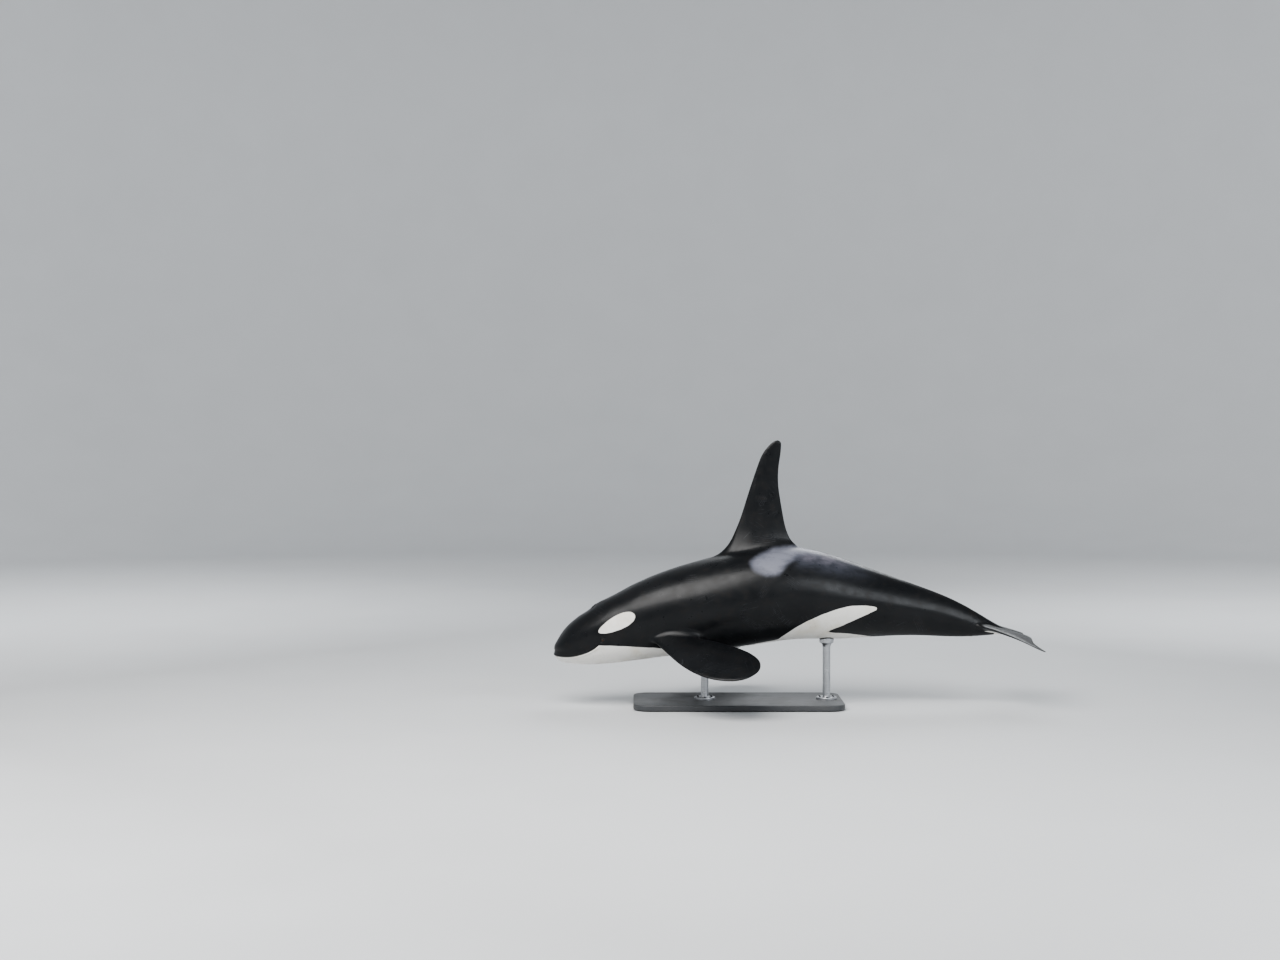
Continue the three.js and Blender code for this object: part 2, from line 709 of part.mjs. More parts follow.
// The rolled rim of both lids round an eye, as a closed ring of round sections.
function eyeLids(side) {
  const { centre, normal, back, up } = spotOnHead(EYE, side);
  const { steps, sides } = LID;
  const points = [];
  const faces = [];
  for (let i = 0; i < steps; i++) {
    const turn = (2 * Math.PI * i) / steps;
    const spoke = back.clone().multiplyScalar(Math.cos(turn) * LID.long);
    spoke.addScaledVector(up, Math.sin(turn) * LID.high);
    const middle = centre.clone().add(spoke).addScaledVector(normal, -LID.sink);
    spoke.normalize();
    for (let k = 0; k < sides; k++) {
      const roll = (2 * Math.PI * k) / sides;
      const point = middle.clone().addScaledVector(spoke, LID.radius * Math.cos(roll));
      points.push(point.addScaledVector(normal, LID.radius * Math.sin(roll)));
    }
  }
  const corner = (i, k) => (i % steps) * sides + (k % sides);
  for (let i = 0; i < steps; i++)
    for (let k = 0; k < sides; k++) {
      const [a, b, c, d] = [corner(i, k), corner(i + 1, k), corner(i + 1, k + 1), corner(i, k + 1)];
      if (side > 0) faces.push([a, b, c], [a, c, d]);
      else faces.push([a, c, b], [a, d, c]);
    }
  return solidFrom(points, faces);
}

// A short pit for the ear's opening.
function earPit(side) {
  const { centre, normal } = spotOnHead(EAR, side);
  const path = [EAR.depth, -EAR.depth].map((out) => centre.clone().addScaledVector(normal, out));
  return sweep(path, EAR, false);
}

// A bar along the crescent of the blowhole on top of the head, whose horns point toward the snout.
function blowholeBar(section) {
  const { station, halfWidth, bow, steps } = BLOWHOLE;
  const path = [];
  for (let k = -steps; k <= steps; k++) {
    const share = k / steps;
    const u = station + (bow * (0.5 - share ** 2)) / LENGTH;
    const angle = Math.sign(share) * angleAtSide(u, halfWidth * Math.abs(share));
    path.push(bodyPoint(u, angle).addScaledVector(bodyNormal(u, angle), -section.sink));
  }
  return sweep(path, section, true);
}

// The head with the raised rim of the blowhole and its slit.
function addBlowhole(head) {
  return head.add(blowholeBar(BLOWHOLE_RIM)).subtract(blowholeBar(BLOWHOLE_SLIT));
}

// The region of the lower jaw in side view, grown or shrunk by a margin.
function jawRegion(margin) {
  const outline = [sidePoint(JAW.ahead, mouthLevel(0) + margin)];
  for (let k = 0; k <= JAW.steps; k++) {
    const u = (MOUTH_CORNER * k) / JAW.steps;
    outline.push(sidePoint(u, mouthLevel(u) + margin));
  }
  outline.at(-1).x += margin;
  const hinge = JAW.hinge + margin / LENGTH;
  outline.push(sidePoint(hinge, JAW.hingeLevel * LENGTH));
  outline.push(sidePoint(hinge, JAW.below * LENGTH));
  outline.push(sidePoint(JAW.ahead, JAW.below * LENGTH));
  const shape = new THREE.Shape(outline.map(({ x, z }) => new THREE.Vector2(x, z)));
  const reach = JAW.reach * LENGTH;
  const slab = new THREE.ExtrudeGeometry(shape, { depth: 2 * reach, bevelEnabled: false });
  return solidOf(slab.rotateX(Math.PI / 2).translate(0, reach, 0));
}

// The stand's base: a flat plate with round corners and a softened rim.
function standBase() {
  const { length, width, height, corner, bevel, bevelSteps, cornerSteps } = BASE;
  const x = length / 2 - bevel;
  const y = width / 2 - bevel;
  const r = corner - bevel;
  const shape = new THREE.Shape();
  shape.moveTo(-x + r, -y);
  shape.lineTo(x - r, -y).absarc(x - r, -y + r, r, -Math.PI / 2, 0);
  shape.lineTo(x, y - r).absarc(x - r, y - r, r, 0, Math.PI / 2);
  shape.lineTo(-x + r, y).absarc(-x + r, y - r, r, Math.PI / 2, Math.PI);
  shape.lineTo(-x, -y + r).absarc(-x + r, -y + r, r, Math.PI, (3 * Math.PI) / 2);
  const plate = new THREE.ExtrudeGeometry(shape, {
    depth: height - 2 * bevel,
    bevelSize: bevel,
    bevelThickness: bevel,
    bevelSegments: bevelSteps,
    curveSegments: cornerSteps,
  });
  return solidOf(plate.translate(0, 0, bevel));
}

// A rod: a foot flange, a round bar, and a collar shaped to the belly that rests on it.
function standRod(station, trunk) {
  const belly = bodyPoint(station, Math.PI);
  const foot = BASE.height + GAP;
  const flangeTop = foot + FLANGE.height;
  const collarFoot = belly.z - COLLAR.foot;
  const top = belly.z + COLLAR.reach;
  const profile = [
    [0, foot],
    [FLANGE.radius, foot],
    [FLANGE.radius, foot + FLANGE.edge],
    [FLANGE.radius - FLANGE.chamfer, flangeTop],
    [ROD.radius + FLANGE.fillet, flangeTop],
    [ROD.radius, flangeTop + FLANGE.fillet],
    [ROD.radius, collarFoot],
    [COLLAR.radius, collarFoot + COLLAR.cone],
    [COLLAR.radius, top],
    [0, top],
  ];
  const lathe = new THREE.LatheGeometry(
    profile.map(([r, z]) => new THREE.Vector2(r, z)),
    ROD.sides,
  );
  const bar = solidOf(lathe.rotateX(Math.PI / 2).translate(belly.x, 0, 0));
  return largest(bar.subtract(trunk));
}

// Materials.
const material = (color, roughness, metalness = 0) =>
  new THREE.MeshStandardMaterial({ color, roughness, metalness, flatShading: true });
const SKIN_BLACK = material(0x11161b, 0.32);
const SKIN_WHITE = material(0xe6e4dc, 0.36);
const EYE_DARK = material(0x1c120c, 0.08);
const STAND_PAINT = material(0x4a4d50, 0.5, 0.2);
const STAND_STEEL = material(0xa9adb1, 0.35, 1);

const orca = new THREE.Group();
orca.name = "orca";

// Adds a solid to the model as a named mesh.
function addNode(name, solid, look) {
  const mesh = solid.getMesh();
  const geometry = new THREE.BufferGeometry();
  const positions = new Float32Array(mesh.numVert * 3);
  for (let i = 0; i < mesh.numVert; i++)
    positions.set(mesh.vertProperties.subarray(i * mesh.numProp, i * mesh.numProp + 3), i * 3);
  geometry.setAttribute("position", new THREE.BufferAttribute(positions, 3));
  geometry.setIndex(new THREE.BufferAttribute(new Uint32Array(mesh.triVerts), 1));
  const node = new THREE.Mesh(geometry, look);
  node.name = name;
  orca.add(node);
}

// The trunk and its fins, parted into nodes.
const whole = wholeSkin();
const outsideCore = plainTrunk(FIN_CUT);
const flukes = between(whole, STOCK_END, null);
const front = between(whole, null, STOCK_END);
const trunk = front.intersect(plainTrunk(FIN_CUT - GAP));
const fins = front.subtract(outsideCore).decompose();
const middleOf = (solid) => {
  const { min, max } = solid.boundingBox();
  return (min[1] + max[1]) / 2;
};
const largestFirst = fins.sort((a, b) => b.volume() - a.volume());
const [rightmost, centre, leftmost] = largestFirst.slice(0, 3).sort((a, b) => middleOf(b) - middleOf(a));
addNode("dorsal_fin", centre, SKIN_BLACK);
addNode("flipper_left", leftmost, SKIN_BLACK);
addNode("flipper_right", rightmost, SKIN_BLACK);
addNode("fluke_left", largest(flukes.trimByPlane([0, -1, 0], GAP / 2)), SKIN_BLACK);
addNode("fluke_right", largest(flukes.trimByPlane([0, 1, 0], GAP / 2)), SKIN_BLACK);

const SEGMENTS = [
  ["thorax", NECK, CHEST_END],
  ["abdomen", CHEST_END, VENT],
  ["tail_stock_front", VENT, STOCK_MIDDLE],
  ["tail_stock_rear", STOCK_MIDDLE, null],
];
for (const [name, from, to] of SEGMENTS) addNode(name, largest(between(trunk, from, to)), SKIN_BLACK);

// The head: lips, mouth, blowhole, lids, sockets and ears, then the lower jaw parted off.
let head = addBlowhole(addMouth(between(trunk, null, NECK)));
for (const side of [1, -1]) {
  head = head.add(eyeLids(side)).subtract(eyeBall(side, GAP)).subtract(earPit(side));
  addNode(side > 0 ? "eye_left" : "eye_right", eyeBall(side, 0), EYE_DARK);
}
addNode("head", largest(head.subtract(jawRegion(GAP / 2))), SKIN_BLACK);
addNode("lower_jaw", largest(head.intersect(jawRegion(-GAP / 2))), SKIN_WHITE);

addNode("stand_base", standBase(), STAND_PAINT);
const clearTrunk = plainTrunk(GAP);
for (const { name, station } of RODS) addNode(name, standRod(station, clearTrunk), STAND_STEEL);

export default orca;
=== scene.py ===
"""The looks of a life-size killer whale model on a plain display stand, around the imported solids.

Lengths are metres. The head points to -X, the left flank to -Y, +Z is up, and the floor is z = 0.
"""
import math

import bmesh
import bpy
import numpy as np
from mathutils import Matrix, Vector, noise
from mathutils.bvhtree import BVHTree


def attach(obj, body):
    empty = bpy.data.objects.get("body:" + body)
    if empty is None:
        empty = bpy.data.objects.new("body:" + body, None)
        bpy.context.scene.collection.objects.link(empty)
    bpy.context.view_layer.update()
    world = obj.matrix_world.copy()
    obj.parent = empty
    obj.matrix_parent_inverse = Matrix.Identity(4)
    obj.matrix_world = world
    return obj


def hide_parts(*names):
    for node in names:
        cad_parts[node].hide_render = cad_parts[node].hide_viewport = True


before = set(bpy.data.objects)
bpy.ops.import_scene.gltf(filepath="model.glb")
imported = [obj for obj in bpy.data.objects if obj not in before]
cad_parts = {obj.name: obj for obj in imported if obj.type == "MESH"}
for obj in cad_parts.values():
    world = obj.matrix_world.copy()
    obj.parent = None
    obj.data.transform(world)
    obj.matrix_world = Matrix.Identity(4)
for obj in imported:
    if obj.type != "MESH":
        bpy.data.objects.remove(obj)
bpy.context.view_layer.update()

# Driving dimensions of the animal.
LENGTH = 6.9
FIN_STATION = 0.45
FIN_X = 0.33
AXIS_HEIGHT = 1.58
FIN_BASE_LEVEL = 0.684
MM = 0.001

# Station, top, bottom and half width of the straightened body, as shares of LENGTH.
PROFILE = (
    (0, -0.015, -0.015, 0),
    (0.012, 0.0085, -0.034, 0.0245),
    (0.04, 0.031, -0.0482, 0.0455),
    (0.08, 0.047, -0.0615, 0.061),
    (0.12, 0.0575, -0.0715, 0.0705),
    (0.2, 0.072, -0.0865, 0.083),
    (0.3, 0.0865, -0.098, 0.0905),
    (0.4, 0.0965, -0.1, 0.0905),
    (0.48, 0.0995, -0.097, 0.0845),
    (0.56, 0.0945, -0.0895, 0.0725),
    (0.66, 0.075, -0.073, 0.053),
    (0.78, 0.0505, -0.05, 0.0305),
    (0.9, 0.0255, -0.026, 0.0165),
    (0.95, 0.0098, -0.0106, 0.0138),
    (0.98, 0.0032, -0.0038, 0.0112),
    (1, 0.0012, -0.0018, 0.009),
)
TAIL_CLOSES = 0.985
SLOPE = (
    (0, 19), (0.1, 19), (0.2, 17), (0.26, 13), (0.33, 9.4), (0.4, 8.2), (0.45, 5.8), (0.49, 2),
    (0.525, -3.5), (0.56, -7.2), (0.62, -8), (0.7, -8), (0.78, -10.5), (0.86, -14), (0.92, -13), (1, -8),
)
SQUARENESS = (
    (0, 2), (0.1, 2.25), (0.3, 2.15), (0.5, 2), (0.6, 1.8), (0.75, 1.6), (0.9, 1.65), (1, 2),
)
MOUTH = (
    (0, -0.015), (0.012, -0.0205), (0.035, -0.0268), (0.065, -0.0278), (0.085, -0.0245), (0.098, -0.0195),
)
MOUTH_CORNER = 0.098

# Fins: the outlines run from the root to the tip, in millimetres, as in the solids.
DORSAL = dict(
    lead=(
        (-398, 178), (-349, 291), (-282, 464), (-210, 693), (-137, 923),
        (-59, 1152), (8, 1325), (84, 1440), (165, 1520), (236, 1550),
    ),
    trail=(
        (398, 178), (356, 291), (318, 464), (279, 693), (248, 923),
        (251, 1152), (275, 1325), (287, 1440), (283, 1520), (236, 1550),
    ),
    thickness=(0.205, 0.17, 0.15, 0.14, 0.14, 0.14, 0.15, 0.17, 0.2, 0.2),
)
DORSAL_FOOT = dict(station=0.4465, reach=0.089, spread=0.205)
FLIPPER = dict(
    lead=(
        (0, -238), (420, -325), (760, -375), (1080, -370), (1340, -300), (1520, -180), (1620, -40),
        (1650, 100),
    ),
    trail=(
        (300, 262), (530, 374), (800, 458), (1080, 505), (1340, 480), (1520, 380), (1620, 245), (1650, 100),
    ),
    thickness=(0.22, 0.17, 0.125, 0.11, 0.11, 0.12, 0.14, 0.14),
)
FLIPPER_STATION, FLIPPER_ANGLE = 0.2475, 117
FLIPPER_FOOT = dict(station=0.2602, reach=0.0633, angle=118.4, spread=16, tilt=5)
FLIPPER_SWEEP, FLIPPER_DROOP, FLIPPER_TWIST = 31, 27, 9
FLUKE = dict(
    lead=(
        (210, 124), (370, 236), (570, 372), (780, 525), (945, 660), (1035, 750), (1077, 812), (1088, 848),
    ),
    trail=(
        (58, 734), (290, 776), (570, 752), (780, 738), (945, 784), (1035, 838), (1077, 862), (1088, 848),
    ),
    thickness=(0.125, 0.13, 0.13, 0.125, 0.12, 0.12, 0.12, 0.12),
)
FLUKE_FOOT = dict(station=0.947, reach=0.05, angle=90, spread=38, tilt=0)
FLUKE_STATION = 0.9
FLUKE_CURL = 0.105
AIRFOIL_CREST, EDGE_SHARE, EDGE_ROUND, REAR_FALL = 0.34, 0.16, 0.02, 1.6
ROOT_STEP, FLARE_PULL = 0.05, 1.1

# The skin's grid: stretches of the body, each with the station it ends at and its number of rings.
STRETCHES = (
    ("snout", 0.03, 26),
    ("blow_start", 0.0975, 52),
    ("eye_start", 0.0988, 1),
    ("eye_end", 0.1195, 18),
    ("blow_end", 0.1245, 4),
    ("refined", 0.155, 18),
    ("nape", 0.181, 8),
    ("shoulder", 0.338, 46),
    ("chest", 0.343, 1),
    ("back", 0.55, 56),
    ("slit_start", 0.6, 12),
    ("slit_end", 0.645, 14),
    ("loins", 0.74, 22),
    ("stock", 0.893, 40),
    ("flukes", 0.9985, 31),
    ("notch", 1, 2),
)
COLUMNS = 60  # from the ridge of the back to the middle of the belly; the head has twice as many
LINE_SHARE = 0.6  # the column, as a share, that follows the mouth's line
LINE_DENSE = 0.34  # spacing of columns at the mouth's line as a share of the even spacing
LINE_POWER = 1.7  # how fast the columns gather there
LINE_END, EVEN_START = 0.105, 0.185  # stations between which the columns become even
EYE_REACH = 0.07  # from the eye to the upper and lower edge of its hole in the grid


def spline(pairs):
    """Natural cubic spline through (x, y) pairs, for arrays."""
    xs = np.array([pair[0] for pair in pairs], float)
    ys = np.array([pair[1] for pair in pairs], float)
    steps = np.diff(xs)
    size = len(xs)
    system = np.eye(size)
    target = np.zeros(size)
    for i in range(1, size - 1):
        system[i, i - 1:i + 2] = steps[i - 1], 2 * (steps[i - 1] + steps[i]), steps[i]
        target[i] = 6 * ((ys[i + 1] - ys[i]) / steps[i] - (ys[i] - ys[i - 1]) / steps[i - 1])
    bend = np.linalg.solve(system, target)

    def value(x):
        x = np.asarray(x, float)
        i = np.clip(np.searchsorted(xs, x) - 1, 0, size - 2)
        a = (xs[i + 1] - x) / steps[i]
        b = 1 - a
        curve = (a ** 3 - a) * bend[i] + (b ** 3 - b) * bend[i + 1]
        return a * ys[i] + b * ys[i + 1] + curve * steps[i] ** 2 / 6

    return value


def tracks(rows):
    """Splines through the columns of a table, by row number."""
    return [spline(list(enumerate(column))) for column in zip(*rows)]


def smooth(low, high, x):
    """Smooth step of x from 0 at low to 1 at high."""
    t = np.clip((np.asarray(x, float) - low) / (high - low), 0, 1)
    return t * t * (3 - 2 * t)


def window(x, start, full, wane, stop):
    """Smooth step of x up from start to full, and down again from wane to stop."""
    return smooth(start, full, x) * smooth(stop, wane, x)


def bump(x, width):
    """Bell curve of height 1."""
    return np.exp(-(np.asarray(x, float) / width) ** 2)


top_at, bottom_at, half_at = (
    spline([(math.sqrt(row[0]), row[k]) for row in PROFILE]) for k in (1, 2, 3)
)
slope_at = spline(SLOPE)
squareness_at = spline(SQUARENESS)
mouth_at = spline([(math.sqrt(u), z) for u, z in MOUTH])

AXIS_STEPS = 1380
NUDGE, TURN_NUDGE = 0.004, 0.02  # steps that give the surface's directions


def axis_table():
    """The axis, summed up from its slope, with the fin's middle at FIN_X and AXIS_HEIGHT."""
    slope = np.radians(slope_at((np.arange(AXIS_STEPS) + 0.5) / AXIS_STEPS))
    x = np.concatenate(([0], np.cumsum(np.cos(slope)))) * LENGTH / AXIS_STEPS
    z = np.concatenate(([0], np.cumsum(np.sin(slope)))) * LENGTH / AXIS_STEPS
    fin = round(FIN_STATION * AXIS_STEPS)
    return x - x[fin] + FIN_X, z - z[fin] + AXIS_HEIGHT


AXIS_X, AXIS_Z = axis_table()
AXIS_U = np.linspace(0, 1, AXIS_STEPS + 1)


def directions(u):
    """Directions at stations: back along the axis, and up away from it."""
    slope = np.radians(slope_at(np.clip(u, 0, 1)))
    zero = np.zeros_like(slope)
    back = np.stack((np.cos(slope), zero, np.sin(slope)), -1)
    up = np.stack((-np.sin(slope), zero, np.cos(slope)), -1)
    return back, up


def axis_point(u):
    """Points of the axis at stations from 0 to 1."""
    return np.stack((np.interp(u, AXIS_U, AXIS_X), 0 * u, np.interp(u, AXIS_U, AXIS_Z)), -1)


def side_point(u, level):
    """Points in the middle plane at stations and heights above the axis."""
    u = np.asarray(u, float)
    back, up = directions(u)
    within = np.clip(u, 0, 1)
    past = ((u - within) * LENGTH)[..., None]
    return axis_point(within) + up * np.asarray(level)[..., None] + back * past


def section(u):
    """Middle height, half height, half width and the power of the cross-sections at stations."""
    root = np.sqrt(np.clip(u, 0, 1))
    past = np.clip((np.asarray(u) - TAIL_CLOSES) / (1 - TAIL_CLOSES), 0, 1)
    closing = np.sqrt(1 - past ** 2)
    top = LENGTH * top_at(root)
    bottom = LENGTH * bottom_at(root)
    middle, rise = (top + bottom) / 2, closing * (top - bottom) / 2
    return middle, rise, closing * LENGTH * half_at(root), 2 / squareness_at(u)


def body_point(u, angle):
    """Points of the plain body: angle 0 is the ridge of the back, a quarter turn the left flank."""
    middle, rise, half, power = section(u)
    sine, cosine = np.sin(angle), np.cos(angle)
    side = np.sign(sine) * np.abs(sine) ** power * half
    level = middle + np.sign(cosine) * np.abs(cosine) ** power * rise
    points = side_point(u, level)
    points[..., 1] = -side
    return points


def body_steps(u, angle):
    """Derivatives of the body's surface along the station and round the section."""
    root = np.sqrt(u)
    low = np.maximum(root - NUDGE, 0.0) ** 2
    high = np.minimum(root + NUDGE, 1.0) ** 2
    along = (body_point(high, angle) - body_point(low, angle)) / (high - low)[..., None]
    around = (body_point(u, angle + TURN_NUDGE) - body_point(u, angle - TURN_NUDGE)) / (2 * TURN_NUDGE)
    return along, around


def unit(vectors):
    """Vectors of length 1."""
    return vectors / np.maximum(np.linalg.norm(vectors, axis=-1, keepdims=True), 1e-12)


def body_normal(u, angle):
    """Outward normals of the plain body."""
    u = np.maximum(np.asarray(u, float), 1e-5)
    along, around = body_steps(u, angle)
    return unit(np.cross(around, along))


def mouth_level(u):
    """Height of the mouth's line above the axis, held level behind the mouth's corner."""
    return LENGTH * mouth_at(np.sqrt(np.clip(u, 0, MOUTH_CORNER)))


def angle_at_level(u, level):
    """Angle at which a section has a height above the axis."""
    middle, rise, _, power = section(u)
    share = np.clip((level - middle) / np.maximum(rise, 1e-9), -1, 1)
    return np.arccos(np.sign(share) * np.abs(share) ** (1 / power))


def angle_at_side(u, side):
    """Angle at which the back stands a distance to the side of the ridge."""
    _, _, half, power = section(u)
    return np.arcsin(np.clip(side / half, 0, 1) ** (1 / power))


# Places on the head, as in the solids.
EYE_U, EYE_LEVEL, EYE_RADIUS, EYE_SINK = 0.109, -0.0125, 0.031, 0.021
EAR_U, EAR_LEVEL = 0.131, -0.01
BLOWHOLE_U, BLOWHOLE_HALF, BLOWHOLE_BOW = 0.111, 0.062, 0.034
EYE_ANGLE = float(angle_at_level(EYE_U, EYE_LEVEL * LENGTH))
EYE_CENTRE = body_point(EYE_U, EYE_ANGLE)
BLOW_CENTRE = body_point(BLOWHOLE_U, 0)
# Relief over the plain body, in metres: height, distance above the mouth's line, and width.
MOUTH_CREASE = ((-0.0095, 0, 0.0042),)
LIPS = ((0.0075, 0.021, 0.0135), (0.006, -0.02, 0.0125), (-0.003, -0.05, 0.016))
MELON = ((-0.008, 0.085, 0.035), (0.009, 0.2, 0.1))
EAR_DIMPLE = ((-0.004, 0, 0.009), (0.0012, 0.02, 0.008))  # with the distance from the ear
# Height, place behind and above the eye, squeeze along the head, and width.
FACE = ((0.008, (0, 0), 0.8, 0.09), (-0.006, (-0.13, 0.03), 1, 0.07), (-0.004, (0.03, 0.11), 0.6, 0.05))
CROWN = ((-0.012, -0.12, 0.08, 0.12), (0.009, 0.09, 0.08, 0.11))  # height, place behind the blowhole, size
NECK, NECK_HOLLOW, NECK_WIDTH = 0.163, 0.008, 0.16
GROOVE_ANGLE, GROOVE_DEPTH, GROOVE_WIDTH = 1.62, 0.007, 0.22  # between the muscles of the tail stock
KEEL_RISE, KEEL_WIDTH = 0.005, 0.12
WRINKLE_RISE, WRINKLE_STEP = 0.0012, 0.031  # ahead of the flukes
# Stations where these start, are full, wane and stop.
GROOVE_SPAN, KEEL_SPAN = (0.6, 0.68, 0.8, 0.88), (0.56, 0.64, 0.82, 0.9)
WRINKLE_SPAN = (0.865, 0.885, 0.905, 0.925)


def swell(x, table):
    """Sum of bell curves, each with its height, middle and width."""
    return sum(height * bump(x - middle, width) for height, middle, width in table)


def relief(u, angle, points, normals):
    """How far the modelled skin stands out of the plain body: lips, brow, melon, blowhole, muscles."""
    back, up = directions(u)
    level = np.sum((points - axis_point(u)) * up, -1)
    slant = np.sqrt(np.clip(1 - np.sum(normals * up, -1) ** 2, 0.09, 1))
    line = (level - mouth_level(u)) / slant
    out = smooth(-0.03, 0.02, (MOUTH_CORNER - u) * LENGTH) * swell(line, MOUTH_CREASE)
    out += smooth(0, 0.055, (MOUTH_CORNER - u) * LENGTH) * swell(line, LIPS)
    out += smooth(0.05, 0.01, u) * swell(line, MELON)
    flank = np.stack((np.sum((points - EYE_CENTRE) * back, -1), level - EYE_LEVEL * LENGTH), -1)
    face = swell(np.hypot((u - EAR_U) * LENGTH, level - EAR_LEVEL * LENGTH), EAR_DIMPLE)
    for height, middle, stretch, width in FACE:
        face += height * bump(np.linalg.norm((flank - middle) * (stretch, 1), axis=-1), width)
    out += smooth(0.05, 0.2, np.abs(points[..., 1])) * face
    ahead = np.sum((points - BLOW_CENTRE) * back, -1)
    for height, middle, long, wide in CROWN:
        out += smooth(0.0, 0.2, level) * height * bump(ahead - middle, long) * bump(points[..., 1], wide)
    out -= NECK_HOLLOW * bump((u - NECK) * LENGTH, NECK_WIDTH) * smooth(2.6, 1.6, angle)
    out -= GROOVE_DEPTH * window(u, *GROOVE_SPAN) * bump(angle - GROOVE_ANGLE, GROOVE_WIDTH)
    keels = bump(angle, KEEL_WIDTH) + bump(angle - math.pi, KEEL_WIDTH)
    out += KEEL_RISE * window(u, *KEEL_SPAN) * keels
    wave = np.sin(u * LENGTH * 2 * math.pi / WRINKLE_STEP + 1.5 * np.sin(3 * angle))
    return out + WRINKLE_RISE * window(u, *WRINKLE_SPAN) * wave


def skin_point(u, angle):
    """Points of the modelled skin."""
    u = np.asarray(u, float)
    angle = np.asarray(angle, float)
    points = body_point(u, angle)
    normals = body_normal(u, angle)
    return points + normals * relief(u, angle, points, normals)[..., None]


class Skin:
    """A left half-skin being built: points with their place on the body, and faces by point number."""

    def __init__(self):
        self.points, self.places, self.faces = [], [], []
        self.count = 0
        self.ring, self.closed = None, True

    def add(self, points, places):
        """Adds points, each with its place, and returns their numbers."""
        points = np.atleast_2d(points)
        self.points.append(points)
        self.places.append(np.broadcast_to(places, (len(points), 6)))
        numbers = np.arange(self.count, self.count + len(points))
        self.count += len(points)
        return numbers

    def grow(self, points, places):
        """Adds a ring inside the present one, with quads between them, or a single point with triangles."""
        outer, inner = self.ring, self.add(points, places)
        for k in range(len(outer) if self.closed else len(outer) - 1):
            n = (k + 1) % len(outer)
            rest = (inner[n], inner[k]) if len(inner) > 1 else (inner[0],)
            self.faces.append((outer[k], outer[n]) + rest)
        self.ring = inner


TRUNK, FIN, PADDLE, TAIL = 0, 1, 2, 3  # parts of the skin, for its markings


def on_body(u, angle):
    """Places of points on the trunk: station, angle, part, and none of the three places on a fin."""
    u, angle = np.atleast_1d(u), np.atleast_1d(angle)
    none = 0 * u
    return np.stack((u, angle, none + TRUNK, none, none, none), -1)


def stations_and_rings():
    """Stations of all rings, and the number of the ring that ends each stretch."""
    stations, ring_of = [0.0], {}
    for name, end, rings in STRETCHES:
        start, stop = math.sqrt(stations[-1]), math.sqrt(end)
        stations += [(start + (stop - start) * k / rings) ** 2 for k in range(1, rings + 1)]
        ring_of[name] = len(stations) - 1
    return np.array(stations), ring_of


STATIONS, RING = stations_and_rings()
FINE_END = RING["refined"]


def column_angle(u, share):
    """Angle of a column: on the head the columns gather at the mouth's line, behind it they are even."""
    line = angle_at_level(u, mouth_level(u))
    above = np.clip(share / LINE_SHARE, 0, 1)
    below = np.clip((share - LINE_SHARE) / (1 - LINE_SHARE), 0, 1)

    def gather(t):
        return LINE_DENSE * t + (1 - LINE_DENSE) * t ** LINE_POWER

    gathered = np.where(
        share < LINE_SHARE, line * (1 - gather(1 - above)), line + (math.pi - line) * gather(below)
    )
    weight = smooth(EVEN_START, LINE_END, u)
    return gathered * weight + math.pi * share * (1 - weight)


# Holes of the grid that fins, eyes and slits grow from: rings from, rings to, first and last column.
def hole(start, stop, first, last):
    return RING[start], RING[stop], first, last


DORSAL_HOLE = hole("chest", "back", 0, 12)
FLIPPER_HOLE = hole("nape", "shoulder", 27, 51)
FLUKE_HOLE = hole("stock", "flukes", 15, 45)
SLIT_HOLE = hole("slit_start", "slit_end", COLUMNS - 3, COLUMNS)
BLOW_HOLE = hole("blow_start", "blow_end", 0, 11)


def eye_columns():
    """Columns of the head's grid above and below the eye."""
    shares = np.arange(2 * COLUMNS + 1) / (2 * COLUMNS)
    angles = column_angle(np.full(len(shares), EYE_U), shares)
    reach = EYE_REACH / np.linalg.norm(body_steps(EYE_U, EYE_ANGLE)[1])
    first = int(np.searchsorted(angles, EYE_ANGLE - reach))
    last = int(np.searchsorted(angles, EYE_ANGLE + reach))
    return first, last


EYE_HOLE = hole("eye_start", "eye_end", *eye_columns())


def inside(holes, i, j, size, edge):
    """Whether a point (edge 1) or a face (edge 0) of a ring and column lies inside a hole."""
    for i0, i1, j0, j1 in holes:
        low = j0 + edge if j0 > 0 else 0
        high = j1 if edge and j1 == size else j1 - 1
        if i0 + edge <= i < i1 and low <= j <= high:
            return True
    return False


FINE_HOLES = (EYE_HOLE, BLOW_HOLE)
COARSE_HOLES = (DORSAL_HOLE, FLIPPER_HOLE, FLUKE_HOLE, SLIT_HOLE)


def grid_at(i):
    """Number of columns at a ring of the trunk, and the holes there."""
    return (2 * COLUMNS, FINE_HOLES) if i <= FINE_END else (COLUMNS, COARSE_HOLES)


